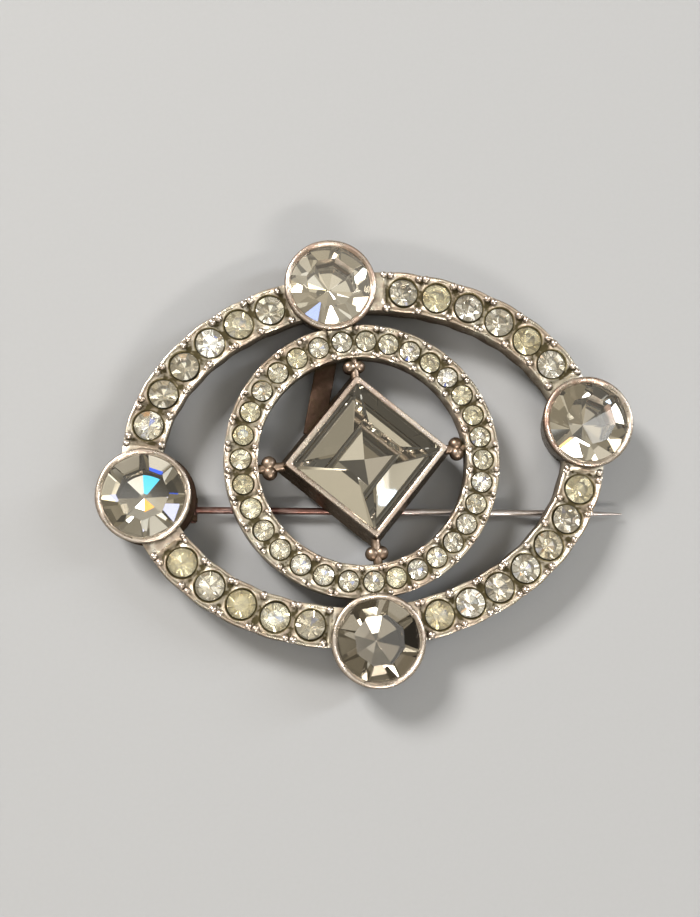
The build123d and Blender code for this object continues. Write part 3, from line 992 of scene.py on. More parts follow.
@dataclass
class RoundCup:
    """One round cup: a cone with a rim folded over its stone."""

    name: str
    turn: float
    out: float
    stone_turn: float
    base_radius: float = 3.5
    rim_radius: float = 4.3
    height: float = 4.9
    girdle: float = 4.3
    mouth: float = 3.68

    @property
    def middle(self) -> Vector:
        """Where the cup stands."""
        return OvalRoute(0, 360).point(self.turn, self.out)

    def outline(self) -> list[tuple[float, float]]:
        """Radius and height along the cup's wall, from the bottom's middle to the hollow's."""
        r, top = self.rim_radius, self.height
        return [
            (0.0, 0.0), (self.base_radius - 0.25, 0.0), (self.base_radius - 0.07, 0.07),
            (self.base_radius, 0.25), (r - 0.05, self.girdle - 0.25), (r - 0.01, self.girdle + 0.1),
            (r, top - 0.3), (r - 0.03, top - 0.15), (r - 0.11, top - 0.04), (r - 0.22, top),
            (r - 0.33, top - 0.02), (r - 0.42, top - 0.09), (self.mouth + 0.06, top - 0.2),
            (self.mouth, top - 0.3), (self.mouth + 0.03, top - 0.36), (self.mouth + 0.24, self.girdle),
            (self.mouth + 0.2, self.girdle - 0.5), (0.6, 0.8), (0.0, 0.8),
        ]

    def build(self, metals: Metals) -> None:
        """Build the cup, its rim a little uneven."""
        bm = bmesh.new()
        Bench.turned(bm, self.outline(), 112)
        chance = Random(self.name)
        waves = [(k, chance.uniform(0, 2 * pi), 0.02 / k) for k in (2, 3, 5, 9)]
        for vert in bm.verts:
            flat = vert.co.xy.length
            if flat > 3.0 and vert.co.z > self.girdle - 0.5:
                turn = atan2(vert.co.y, vert.co.x)
                grow = sum(size * sin(k * turn + phase) for k, phase, size in waves)
                vert.co.x *= 1 - abs(grow) / flat
                vert.co.y *= 1 - abs(grow) / flat
                vert.co.z += min(0.0, grow)
        bmesh.ops.translate(bm, verts=bm.verts, vec=self.middle)
        Bench.deliver(bm, f"cup_{self.name}", "root", "metal", [metals.rim[self.name]])

    def set_stone(self, glass: Glass, seed: int) -> None:
        """Lay the cup's stone in it.

        Args:
            glass: The stone's finishes.
            seed: Chooses which facets are painted darker as shade.
        """
        bm = bmesh.new()
        place = self.middle + Vector((0, 0, self.girdle))
        SetStone(place, radians(self.stone_turn), 0.0, 0.05).into(bm, ROUND_CUT.ground(seed))
        Bench.deliver(
            bm, f"cut_stone_{self.name}", "root", "large_stones", [glass.crown, glass.foil],
            [f"round_stone_{self.name}"], None,
        )


@dataclass
class OvalBand:
    """The oval band in four arcs between the cups, with its seats, grains and stones."""

    cups: dict[str, RoundCup]
    arcs: tuple[tuple[str, str, float, float], ...] = (
        ("right", "top", 0.75, 1.25), ("top", "left", 0.35, 0.95),
        ("left", "bottom", 1.35, 0.4), ("bottom", "right", 0.3, 0.65),
    )
    stone_across: float = 2.6
    pitch: float = 3.1
    half_width: float = 1.875
    back: float = 1.7
    top: float = 3.9
    girdle: float = 3.78
    aged: tuple[int, ...] = (2, 5, 8, 13, 15, 16, 18, 24)

    def strips(self) -> list[tuple[str, SeatStrip]]:
        """The four strips, by the names of their arcs."""
        found = []
        for first, last, start_blank, end_blank in self.arcs:
            route = OvalRoute(self.cups[first].turn, self.cups[last].turn)
            beside = self.cups[first].rim_radius + self.stone_across / 2
            low, high = beside + start_blank, route.length - beside - end_blank
            count = max(2, round((high - low) / self.pitch) + 1)
            seats = [low + (high - low) * i / (count - 1) for i in range(count)]
            strip = SeatStrip(
                route, seats, (self.cups[first].out, self.cups[last].out), self.half_width, self.back,
                self.top, self.stone_across / 2 + 0.008, 0.19,
            )
            found.append((f"{first}_to_{last}", strip))
        return found

    def build(self, metals: Metals) -> None:
        """Build the strips and their grains."""
        for number, (name, strip) in enumerate(self.strips()):
            Bench.deliver(strip.built(), f"band_{name}", "root", "metal", [metals.cast, metals.seat])
            grains = Grains(strip, 0.38, 0.33, 11 + number, self.cups)
            Bench.deliver(grains.built(), f"band_grains_{name}", "root", "metal", [metals.grain])

    def set_stones(self, glass: Glass) -> None:
        """Lay a stone in each seat."""
        chance = Random(7)
        number = 0
        grounds = [BAND_CUT.ground(seed) for seed in range(5)]
        for _, strip in self.strips():
            for seat in strip.seats:
                number += 1
                spot = strip.route.at(seat, 0.0)
                age = chance.uniform(0.55, 0.9) if number in self.aged else chance.uniform(0.0, 0.25)
                place = Vector((spot.x, spot.y, self.girdle))
                stone = SetStone(place, chance.uniform(0, 2 * pi), chance.uniform(-8, 8), age)
                bm = bmesh.new()
                stone.into(bm, chance.choice(grounds))
                Bench.deliver(
                    bm, f"cut_band_stone_{number:02d}", "root", "small_stones", [glass.crown, glass.foil],
                    [f"band_stone_{number:02d}"], None,
                )


@dataclass
class InnerRing:
    """The inner ring with its seats, grains and stones."""

    cups: dict[str, RoundCup]
    lap: float = 0.52
    width: float = 3.08
    offset_x: float = -0.42
    back: float = 1.9
    top: float = 3.9
    girdle: float = 3.78
    stone_across: float = 1.8
    pitch: float = 2.2
    spacing: tuple[tuple[float, float], ...] = (
        (0.0, 5.2), (0.22, 82.0), (0.47, 174.2), (0.72, 268.7), (0.97, 354.6), (1.0, 365.2)
    )

    @property
    def outer(self) -> float:
        """The ring's outer radius, which laps under the top and the bottom cup."""
        top, bottom = self.cups["top"], self.cups["bottom"]
        return (top.middle.y - bottom.middle.y) / 2 - top.rim_radius + self.lap

    @property
    def middle(self) -> Vector:
        """The ring's middle."""
        ends = self.cups["top"].middle.y + self.cups["bottom"].middle.y
        return Vector((self.offset_x, ends / 2, 0))

    def strip(self) -> SeatStrip:
        """The ring as a strip of seats."""
        route = RingRoute(self.middle, self.outer - self.width / 2)
        count = round(route.length / self.pitch)
        seats = []
        for i in range(count):
            share = i / count
            (s0, t0), (s1, t1) = next(
                pair for pair in zip(self.spacing, self.spacing[1:]) if share <= pair[1][0]
            )
            seats.append(radians(t0 + (t1 - t0) * (share - s0) / (s1 - s0)) * route.radius)
        return SeatStrip(
            route, seats, None, self.width / 2, self.back, self.top, self.stone_across / 2 + 0.008, 0.15,
            rim_width=0.3, swell=0.012, side_steps=7, reach_steps=6,
        )

    def build(self, metals: Metals) -> None:
        """Build the ring and its grains."""
        strip = self.strip()
        Bench.deliver(strip.built(), "inner_ring", "root", "metal", [metals.cast, metals.seat])
        grains = Grains(strip, 0.29, 0.25, 29, self.cups)
        Bench.deliver(grains.built(), "inner_ring_grains", "root", "metal", [metals.grain])

    def set_stones(self, glass: Glass) -> None:
        """Lay a stone in each seat."""
        chance = Random(19)
        strip = self.strip()
        grounds = [RING_CUT.ground(seed) for seed in range(20, 25)]
        bm = bmesh.new()
        for seat in strip.seats:
            spot = strip.route.at(seat, 0.0)
            age = chance.uniform(0.5, 0.85) if chance.random() < 0.35 else chance.uniform(0.05, 0.4)
            place = Vector((spot.x, spot.y, self.girdle))
            stone = SetStone(place, chance.uniform(0, 2 * pi), chance.uniform(-9, 9), age)
            stone.into(bm, chance.choice(grounds))
        Bench.deliver(
            bm, "cut_ring_stones", "root", "small_stones", [glass.crown, glass.foil], ["ring_stones"], None
        )


@dataclass
class SquareCup:
    """The square cup with its stone, and the balls that join it to the ring."""

    ring: InnerRing
    middle: Vector = field(default_factory=SQUARE_MIDDLE.copy)
    rim_side: float = 10.75
    flare: float = 0.5
    corner: float = 0.3
    back: float = 1.55
    rim_z: float = 4.707
    girdle: float = 4.207
    mouth: float = 4.86
    hole: float = 1.8
    ball_radius: float = 0.72
    ball_spread: float = 0.42
    peg_radius: float = 0.45
    ball_z: float = 3.1

    def profile(self) -> list[tuple[float, float]]:
        """Half width and height along the wall, from the back's edge to the hole in the back."""
        half, top = self.rim_side / 2, self.rim_z
        return [
            (half + self.flare - 0.15, self.back), (half + self.flare, self.back + 0.15),
            (half + 0.02, self.girdle - 0.15), (half, self.girdle + 0.05), (half, top - 0.13),
            (half - 0.02, top - 0.05), (half - 0.08, top), (half - 0.38, top - 0.01),
            (half - 0.44, top - 0.04), (self.mouth, top - 0.13), (self.mouth + 0.02, top - 0.25),
            (self.mouth + 0.21, self.girdle), (self.mouth + 0.21, self.girdle - 0.15),
            (self.hole, self.back + 0.02), (self.hole + 0.05, self.back),
        ]

    def build(self, metals: Metals) -> None:
        """Build the cup's wall, open to the back, and the balls on their pegs."""
        bm = bmesh.new()
        profile = self.profile()
        start = profile[0][0]
        made = bmesh.ops.create_circle(bm, cap_ends=True, segments=4, radius=start * 2 ** 0.5)
        bmesh.ops.bevel(
            bm, geom=made["verts"], offset=self.corner, segments=5, profile=0.5, affect="VERTICES",
            material=-1,
        )
        bmesh.ops.delete(bm, geom=bm.faces[:], context="FACES_ONLY")
        first = chain = list(bm.edges)
        was = start
        for vert in bm.verts:
            vert.co.z = profile[0][1]
        for half, height in profile[1:]:
            grown = bmesh.ops.extrude_edge_only(bm, edges=chain)["geom"]
            chain = [part for part in grown if isinstance(part, bmesh.types.BMEdge)]
            for vert in {v for e in chain for v in e.verts}:
                vert.co.x *= half / was
                vert.co.y *= half / was
                vert.co.z = height
            was = half
        bmesh.ops.bridge_loops(bm, edges=first + chain)
        bmesh.ops.translate(bm, verts=bm.verts, vec=self.middle)
        Bench.deliver(bm, "square_cup", "root", "metal", [metals.rim["square"]], sharp=28.0)
        self._balls(metals)

    def _balls(self, metals: Metals) -> None:
        """Build a pair of balls on a peg at each corner, no two pairs quite alike."""
        bm = bmesh.new()
        chance = Random(5)
        corner = (self.rim_side + self.flare) / 2 ** 0.5 - self.corner * 0.4
        inner = self.ring.outer - self.ring.width
        off = self.middle - self.ring.middle
        for turn in (0, 90, 180, 270):
            way = Vector((cos(radians(turn)), sin(radians(turn)), 0))
            along = off.dot(way)
            end = (inner ** 2 - (off.dot(off) - along ** 2)) ** 0.5 - along
            spot = self.middle + way * ((corner + end) / 2) + Vector((0, 0, self.ball_z))
            turned = Matrix.Translation(spot) @ way.to_track_quat("Z", "Y").to_matrix().to_4x4()
            bmesh.ops.create_cone(
                bm, cap_ends=True, segments=24, radius1=self.peg_radius, radius2=self.peg_radius,
                depth=end - corner + 1.4, matrix=turned,
            )
            for side in (1, -1):
                out = Vector((-way.y, way.x, 0)) * (side * self.ball_spread)
                radius = self.ball_radius * chance.uniform(0.86, 1.0)
                Bench.bead(bm, spot + out, radius, chance.uniform(0.9, 1.0), 4)
        Bench.deliver(bm, "corner_balls", "root", "metal", [metals.joint])

    def set_stone(self, glass: Glass) -> None:
        """Lay the square stone in the cup."""
        bm = bmesh.new()
        SetStone(self.middle + Vector((0, 0, self.girdle)), 0.0, 0.0, 0.06).into(bm, SQUARE_CUT.ground(3))
        Bench.deliver(
            bm, "cut_stone_square", "root", "large_stones", [glass.crown, glass.foil], ["square_stone"], None
        )


@dataclass
class BackFittings:
    """The strap, the hinge and the catch on the brooch's back."""

    cups: dict[str, RoundCup]
    ring: InnerRing
    square: SquareCup
    stem_slope: float = -6.73
    stem_z: float = 1.0
    stem_radius: float = 0.325
    eye_radius: float = 0.5
    eye_width: float = 1.0
    ear_gap: float = 0.06
    ear_thickness: float = 0.5
    plate_z: float = 1.78
    plate_thickness: float = 0.6
    plate_shift: float = 0.45
    plate_edge: float = 0.08
    hinge_turn: float = -18.0
    strap_width: float = 1.9
    strap_thickness: float = 0.55
    strap_turn: float = 103.0
    strap_slant: float = 73.0
    strap_low_lap: float = 1.6
    strap_high_lap: float = 1.2
    catch_thickness: float = 0.45
    catch_length: float = 1.8
    catch_low: float = 0.2
    catch_top: float = 1.95
    catch_room: float = 0.5
    catch_lip: float = 0.1
    catch_edge: float = 0.07

    @property
    def way(self) -> Vector:
        """The way the stem runs."""
        return Vector((cos(radians(self.stem_slope)), sin(radians(self.stem_slope)), 0))

    @property
    def hinge_at(self) -> Vector:
        """The hinge's middle."""
        cup = self.cups["left"]
        reach = cup.base_radius + 0.42 + self.eye_radius
        turn = radians(self.hinge_turn)
        return cup.middle + Vector((cos(turn), sin(turn), 0)) * reach + Vector((0, 0, self.stem_z))

    def build(self, metals: Metals) -> None:
        """Build the three fittings."""
        Bench.deliver(self._strap(), "back_strap", "root", "metal", [metals.back])
        Bench.deliver(self._hinge(), "pin_hinge_ears", "root", "metal", [metals.back], ["setting"])
        Bench.deliver(self._catch(), "pin_catch", "root", "metal", [metals.back])

    def _strap(self) -> bmesh.types.BMesh:
        """The flat strap from under the ring to under the square cup."""
        bm = bmesh.new()
        slant, turn = radians(self.strap_slant), radians(self.strap_turn)
        way = Vector((cos(slant), sin(slant), 0))
        inner = self.ring.outer - self.ring.width
        top = self.ring.middle + Vector((cos(turn), sin(turn), 0)) * inner
        wall = Vector((-1, 1, 0)).normalized()
        side = self.square.rim_side / 2 + self.square.flare
        run = ((top - self.square.middle).dot(wall) - side) / way.dot(wall)
        low, high = top - way * (run + self.strap_low_lap), top + way * self.strap_high_lap
        z = self.ring.back + 0.35 - self.strap_thickness / 2
        place = Matrix.Translation((low + high) / 2 + Vector((0, 0, z))) @ Matrix.Rotation(slant, 4, "Z")
        Bench.bar(bm, ((high - low).length, self.strap_width, self.strap_thickness), place, 0.1)
        return bm

    def _hinge(self) -> bmesh.types.BMesh:
        """The plate under the left cup and its two ears."""
        bm = bmesh.new()
        cup = self.cups["left"]
        outer, low, high = cup.rim_radius, self.plate_z, self.plate_z + self.plate_thickness
        edge = self.plate_edge
        points = [
            (cup.base_radius, low), (outer - edge, low), (outer, low + edge), (outer, high - edge),
            (outer - edge, high), (cup.base_radius, high),
        ]
        Bench.turned(bm, points, 96, closed=True)
        for vert in bm.verts:
            if vert.co.xy.length > cup.base_radius + 0.01:
                vert.co += self.way * self.plate_shift
            vert.co += cup.middle
        across = Matrix.Rotation(radians(self.stem_slope), 4, "Z")
        rise = self.plate_z + 0.05 - self.stem_z
        out = self.eye_width / 2 + self.ear_gap + self.ear_thickness / 2
        for side in (out, -out):
            at = Matrix.Translation(self.hinge_at) @ across
            Bench.bar(
                bm, (2 * self.eye_radius, self.ear_thickness, rise),
                at @ Matrix.Translation((0, side, rise / 2)), 0.04,
            )
            bmesh.ops.create_cone(
                bm, cap_ends=True, segments=32, radius1=self.eye_radius, radius2=self.eye_radius,
                depth=self.ear_thickness,
                matrix=at @ Matrix.Translation((0, side, 0)) @ Matrix.Rotation(radians(90), 4, "X"),
            )
        return bm

    def _catch(self) -> bmesh.types.BMesh:
        """The plain hook under the band."""
        bm = bmesh.new()
        thick, length, low, top = self.catch_thickness, self.catch_length, self.catch_low, self.catch_top
        inside = -self.stem_radius - self.catch_room
        outside, lip = inside - thick, -self.stem_radius - self.catch_lip
        across = Vector((-self.way.y, self.way.x, 0))
        route = OvalRoute(270, 360)
        spots = [route.point(turn, 0) for turn in route.turns]
        spot = min(spots, key=lambda at: abs((at - self.hinge_at).dot(across)))
        distance = (spot - self.hinge_at).dot(self.way)
        foot = self.hinge_at + self.way * (distance - length / 2)
        corners = [
            (outside, top), (outside, low), (lip, low),
            (lip, low + thick), (inside, low + thick), (inside, top),
        ]
        verts = [bm.verts.new((foot + across * a).xy.to_3d() + Vector((0, 0, z))) for a, z in corners]
        face = bm.faces.new(verts)
        grown = bmesh.ops.extrude_face_region(bm, geom=[face])["geom"]
        bmesh.ops.translate(
            bm, verts=[part for part in grown if isinstance(part, bmesh.types.BMVert)], vec=self.way * length
        )
        bmesh.ops.recalc_face_normals(bm, faces=bm.faces)
        Bench.softened(bm, bm.edges[:], self.catch_edge)
        return bm


# The room's light, worked out from the flashes that the photograph shows


@dataclass(frozen=True)
class Viewpoint:
    """Where the photograph was taken from, in millimetres."""

    lens: float = 54.96
    place: Vector = field(default_factory=lambda: Vector((-16.96, -17.57, 130.2)))
    right: Vector = field(default_factory=lambda: Vector((0.9876, -0.1192, 0.1019)))
    up: Vector = field(default_factory=lambda: Vector((0.1030, 0.9831, 0.1511)))

    def axes(self) -> tuple[Vector, Vector, Vector]:
        """The picture's ways right, up and back, square to each other."""
        right = self.right.normalized()
        back = right.cross(self.up).normalized()
        return right, back.cross(right), back

    def rays(self, middle: Vector, half: float, shares: np.ndarray) -> np.ndarray:
        """The ways from the camera to points about a stone's middle.

        Args:
            middle: The stone's middle.
            half: Its half width.
            shares: How far right and up each point looks, in half widths at the floor's distance.

        Returns:
            One way of length 1 for each point.
        """
        right, up, back = self.axes()
        step = half * (self.place - middle).dot(back) / self.place.z
        ways = np.array(tuple(middle - self.place)) + step * shares @ np.array([tuple(right), tuple(up)])
        return ways / np.linalg.norm(ways, axis=1, keepdims=True)


class FacetedStone:
    """The planes that bound a cut stone in its seat, for following light through it."""

    BOUNCES = 12
    TINY = 1e-9

    def __init__(self, cut: StoneCut, place: Vector, turn: float, lean: Matrix | None = None) -> None:
        """Bound the stone; the foil and the girdle are mirrors.

        Args:
            cut: Its cut.
            place: Its girdle's middle.
            turn: How far it is turned, in degrees.
            lean: How it leans in its seat.
        """
        self.half, self.place = cut.across / 2, place
        sides = cut.outline.value
        corner = 180 / sides if cut.outline is Outline.SQUARE else 0.0
        rows = [(Vector((0, 0, 1)), cut.rise(), False)]
        for i in range(sides):
            a = radians(corner + 360 * i / sides)
            rows.append((Vector((cos(a), sin(a), 0)), self.half, True))
        rows += [(normal, normal.dot(point), normal.z < 0) for point, normal in cut.facets(turn)]
        lean = lean or Matrix.Identity(3)
        self.normals = np.array([tuple(lean @ normal) for normal, _, _ in rows])
        self.offsets = np.array([offset for _, offset, _ in rows]) + self.normals @ np.array(tuple(place))
        self.mirrors = np.array([mirror for _, _, mirror in rows])

    def follow(self, eye: Vector, ways: np.ndarray) -> tuple[np.ndarray, np.ndarray]:
        """Follow rays into the stone, round its facets and out.

        Args:
            eye: Where the rays start.
            ways: The way each one goes.

        Returns:
            The points where rays leave the stone and the ways they leave it, without the rays that
            miss it or stay in it.
        """
        ior, start = GlassCrown.ior, np.array(tuple(eye))
        facing = ways @ self.normals.T
        facing = np.where(np.abs(facing) < self.TINY, self.TINY, facing)
        reach = (self.offsets - self.normals @ start) / facing
        entry = np.where(facing < 0, reach, -np.inf)
        inside = entry.max(1) < np.where(facing > 0, reach, np.inf).min(1)
        spots = start + ways * entry.max(1)[:, None]
        normal = self.normals[entry.argmax(1)]
        lean = -(ways * normal).sum(1, keepdims=True)
        root = np.sqrt(1 - (1 - lean ** 2) / ior ** 2)
        ways = ways / ior + (lean / ior - root) * normal
        left_at, left_by, left = np.zeros_like(ways), np.zeros_like(ways), np.zeros(len(ways), bool)
        for _ in range(self.BOUNCES):
            facing = ways @ self.normals.T
            ahead = facing > self.TINY
            reach = (self.offsets - spots @ self.normals.T) / np.where(ahead, facing, 1)
            reach = np.where(ahead, np.maximum(reach, 0), np.inf)
            plane = reach.argmin(1)
            spots = spots + ways * reach.min(1)[:, None]
            normal = self.normals[plane]
            lean = (ways * normal).sum(1, keepdims=True)
            sine = ior ** 2 * (1 - lean ** 2)
            out = inside & ~self.mirrors[plane] & (sine[:, 0] < 1)
            root = np.sqrt(np.maximum(1 - sine, 0))
            left_at[out] = spots[out]
            left_by[out] = (ior * ways + (root - ior * lean) * normal)[out]
            left |= out
            inside &= ~out
            ways = np.where(inside[:, None], ways - 2 * lean * normal, ways)
        return left_at[left], left_by[left]


class Panel(NamedTuple):
    """A soft panel or a gap of the room overhead, by where its middle stands in degrees."""

    azimuth: float
    off_zenith: float
    core: float
    edge: float
    colour: Colour


class Gap(NamedTuple):
    """A dark gap of the room, which keeps the colour of a flash in front of it."""

    core: float
    edge: float
    colour: Colour


class Flash(NamedTuple):
    """A flash that the photograph shows in a large stone, and the small lamp that makes it.

    Its turn in degrees and its distance in half widths are taken about the stone's middle.
    """

    stone: str
    turn: float
    out: float
    radius: float
    colour: Colour
    radiance: float
    gap: Gap | None = None
    reach: float = 500.0


@dataclass
class SmallStoneSky:
    """Finds parts of the sky that the small stones mirror and the large ones don't.

    The sky is counted in square cells of a map whose middle is the zenith.
    """

    view: Viewpoint
    large: Sequence[FacetedStone]
    cells: int = 60
    step: float = 2.0
    horizon: float = 58.0
    margin: int = 4
    parts: int = 16
    apart: float = 6.5
    dislike: float = 2.2
    look_at: float = 0.3
    look_past: float = 1.0226
    looks_large: int = 9000
    looks_small: int = 500
    small_stones: int = 110
    ring_radius: float = 10.6
    leaning: float = 9.0
    seed: int = 3

    def _count(self, stones: Iterable[FacetedStone], rays: int, chance: np.random.Generator) -> np.ndarray:
        """Count how often the stones mirror each cell.

        Args:
            stones: The stones, each looked at once.
            rays: How many rays look at each.
            chance: Spreads the rays.

        Returns:
            Each cell's share of the whole.
        """
        counted = np.zeros((self.cells, self.cells))
        for stone in stones:
            spread = chance.uniform(-self.look_past, self.look_past, (rays, 2)) * (1, -1)
            ways = self.view.rays(stone.place + Vector((0, 0, self.look_at)), stone.half, spread)
            _, way = stone.follow(self.view.place, ways)
            off = np.degrees(np.arccos(np.clip(way[:, 2], -1, 1)))
            turn = np.arctan2(way[:, 1], way[:, 0])
            spots = np.stack([off * np.sin(turn), off * np.cos(turn)])[:, off < self.horizon]
            np.add.at(counted, tuple((spots / self.step + self.cells / 2).astype(int)), 1.0)
        return counted / counted.sum()

    def _small(self, chance: np.random.Generator) -> Iterator[FacetedStone]:
        """Stones of the band and the ring by turns, anywhere along them."""
        band = (BAND_CUT, 0.0, OvalRoute.half_x, OvalRoute.half_y)
        ring = (RING_CUT, InnerRing.offset_x, self.ring_radius, self.ring_radius)
        for number in range(self.small_stones):
            turn = chance.uniform(0, 2 * pi)
            cut, middle, x, y = band if number % 2 else ring
            place = SHIFT + Vector((middle + x * cos(turn), y * sin(turn), OvalBand.girdle))
            turned, way = chance.uniform(0, 360), chance.uniform(0, 2 * pi)
            tilt = radians(chance.uniform(-self.leaning, self.leaning))
            yield FacetedStone(cut, place, turned, Matrix.Rotation(tilt, 3, Vector((cos(way), sin(way), 0))))

    def found(self) -> list[tuple[float, float]]:
        """The best parts, by azimuth and distance from the zenith in degrees."""
        chance = np.random.default_rng(self.seed)
        large = self._count(self.large, self.looks_large, chance)
        score = self._count(self._small(chance), self.looks_small, chance) - self.dislike * large
        y, x = np.mgrid[0:self.cells, 0:self.cells]
        taken = np.zeros_like(score, bool)
        inner = range(self.margin, self.cells - self.margin)
        parts = []
        for _ in range(self.parts):
            best = max(
                (score[j - 1:j + 2, i - 1:i + 2].sum(), j, i) for j in inner for i in inner
                if not taken[j - 1:j + 2, i - 1:i + 2].any()
            )
            taken |= np.hypot(x - best[2], y - best[1]) * self.step <= self.apart
            across, up = ((k + 0.5 - self.cells / 2) * self.step for k in (best[2], best[1]))
            parts.append((degrees(atan2(up, across)), float(np.hypot(across, up))))
        return parts


@dataclass
class Studio:
    """The pale floor, the soft lights, the room overhead and the camera."""

    stones: dict[str, FacetedStone]
    view: Viewpoint = field(default_factory=Viewpoint)
    floor_half: float = 3.0
    wall: Colour = (0.10, 0.085, 0.065)
    ceiling: Colour = (0.25, 0.22, 0.165)
    softboxes: tuple[tuple[Vector, float, float, float, Colour], ...] = (
        (Vector((-0.34, 0.42, 0.50)), 0.20, 0.20, 6.0, (1.0, 0.96, 0.92)),
        (Vector((0.50, 0.12, 0.36)), 0.06, 0.34, 1.4, (0.93, 0.96, 1.0)),
        (Vector((0.08, -0.46, 0.42)), 0.26, 0.06, 1.3, (1.0, 0.94, 0.88)),
    )
    flashes: tuple[Flash, ...] = (
        Flash("left", 78, 0.38, 0.026, (0.02, 0.12, 1.0), 1.1, Gap(2.5, 4, (0.02, 0.02, 0.03))),
        Flash("left", 72, 0.30, 0.007, (0.10, 1.0, 0.20), 0.65, reach=490.0),
        Flash("left", -62, 0.30, 0.013, (1.0, 0.42, 0.03), 1.4, Gap(1.5, 2.5, (0.03, 0.02, 0.01))),
        Flash("left", -110, 0.32, 0.013, WHITE, 4.0),
        Flash("left", -35, 0.80, 0.009, (0.42, 0.50, 1.0), 1.8),
        Flash("left", 185, 0.85, 0.010, (1.0, 0.95, 0.60), 2.0),
        Flash("left", 118, 0.35, 0.007, (1.0, 0.96, 0.90), 0.7),
        Flash("left", 80, 0.85, 0.008, (1.0, 0.96, 0.88), 0.5),
        Flash("top", 20, 0.72, 0.017, (0.80, 1.0, 1.0), 4.0),
        Flash("top", 186, 0.36, 0.009, (1.0, 0.93, 0.55), 3.0),
        Flash("top", 235, 0.80, 0.009, (0.30, 0.42, 1.0), 1.9, Gap(1.5, 2.5, (0.02, 0.02, 0.03))),
        Flash("top", -38, 0.78, 0.013, (1.0, 0.96, 0.84), 2.2),
        Flash("right", 95, 0.66, 0.021, WHITE, 6.0),
        Flash("right", 50, 0.62, 0.014, (0.50, 0.68, 1.0), 2.2),
        Flash("right", 4, 0.85, 0.013, WHITE, 3.0),
        Flash("right", -46, 0.78, 0.012, (1.0, 0.92, 0.66), 2.4),
        Flash("bottom", 92, 0.30, 0.013, WHITE, 8.0),
        Flash("bottom", -85, 0.60, 0.008, (1.0, 0.93, 0.90), 3.5),
        Flash("bottom", -62, 0.80, 0.008, WHITE, 4.0),
        Flash("bottom", -20, 0.75, 0.007, WHITE, 3.0),
        Flash("square", -64, 0.86, 0.004, (0.55, 0.74, 1.0), 3.0),
        Flash("square", 114, 1.02, 0.004, WHITE, 4.0),
        Flash("square", -110, 0.28, 0.004, WHITE, 5.0),
    )
    flash_height: float = 0.5
    lamp_share: float = 1.8
    sky_limit: float = 31.0
    sky_edge: float = 1.2
    sky: tuple[tuple[float, Colour], ...] = (
        (2.6, PLAIN_SKY), (2.4, WARM_SKY), (2.6, COOL_SKY), (2.6, PLAIN_SKY), (2.4, PLAIN_SKY),
        (2.4, WARM_SKY), (2.6, WARM_SKY), (2.6, PLAIN_SKY), (2.6, COOL_SKY), (2.4, PLAIN_SKY),
        (2.6, COOL_SKY), (2.6, PLAIN_SKY), (2.4, PLAIN_SKY),
    )
    panels: tuple[Panel, ...] = (
        Panel(-30, 40, 7, 11, (0.62, 0.56, 0.45)),
        Panel(120, 38, 7, 11, (0.42, 0.37, 0.30)),
        Panel(-64, 46, 6, 9, (0.70, 0.62, 0.48)),
        Panel(175, 45, 7, 10, (0.66, 0.60, 0.50)),
        Panel(-110, 45, 7, 10, (0.50, 0.45, 0.36)),
        Panel(60, 48, 7, 10, (0.34, 0.30, 0.24)),
        Panel(-150, 50, 6, 9, (0.75, 0.70, 0.62)),
        Panel(-140, 21, 4, 6, (0.80, 0.76, 0.68)),
        Panel(-97, 23, 4, 6, (0.40, 0.36, 0.30)),
        Panel(-61, 21, 4, 6, (0.70, 0.67, 0.60)),
        Panel(-20, 21, 4, 6, (0.30, 0.26, 0.20)),
        Panel(23, 19, 4, 6, (0.72, 0.69, 0.62)),
        Panel(50, 22, 4, 6, (0.03, 0.025, 0.02)),
        Panel(99, 20, 4, 6, (0.55, 0.50, 0.41)),
        Panel(138, 19, 4, 6, (0.78, 0.76, 0.70)),
        Panel(178, 20, 4, 6, (0.04, 0.035, 0.03)),
        Panel(-104, 12, 3, 4.5, (0.55, 0.51, 0.43)),
        Panel(-28, 10, 3, 4.5, (0.62, 0.58, 0.50)),
        Panel(-176, 12, 3, 4.5, (0.03, 0.027, 0.023)),
        Panel(9, 12, 2.5, 4, (0.02, 0.018, 0.016)),
        Panel(60, 10, 3, 4.5, (0.45, 0.41, 0.34)),
        Panel(147, 9, 2.5, 4, (0.03, 0.027, 0.022)),
        Panel(113, 11, 2.5, 4, (0.40, 0.36, 0.30)),
        Panel(50, 2, 3, 5, (0.72, 0.68, 0.60)),
    )

    def build(self) -> None:
        """Lay the floor, hang the lights and set the camera."""
        self._floor()
        for number, (spot, width, height, power, colour) in enumerate(self.softboxes):
            self._lamp(f"softbox_{number}", spot, (width, height), power, colour)
        gaps = self._sparks()
        self._room([*self.panels, *gaps, *self._sky_panels()])
        self._camera()
        bpy.context.scene.view_settings.view_transform = "Standard"

    def _sparks(self) -> list[Panel]:
        """Hang the lamp of each flash and find the gaps of the room behind the coloured ones."""
        gaps = []
        for number, flash in enumerate(self.flashes):
            spot, way = self._lit_by(flash)
            across = self.lamp_share * flash.radius
            power = flash.radiance * 4 * across ** 2
            self._lamp(f"spark_{number:02d}", spot, (across, across), power, flash.colour)
            LOG.info("lamp for the %s stone at %.3f, %.3f, %.3f", flash.stone, *spot)
            if flash.gap:
                gaps.append(Panel(degrees(atan2(way.y, way.x)), degrees(acos(way.z)), *flash.gap))
        return gaps

    def _sky_panels(self) -> Iterator[Panel]:
        """Bright panels in the parts of the sky that mostly the small stones mirror."""
        found = SmallStoneSky(self.view, list(self.stones.values())).found()
        near = [part for part in found if part[1] < self.sky_limit]
        for (azimuth, off_zenith), (core, colour) in zip(near, self.sky):
            LOG.info("bright panel at %.1f, %.1f", azimuth, off_zenith)
            yield Panel(azimuth, off_zenith, core, core + self.sky_edge, colour)

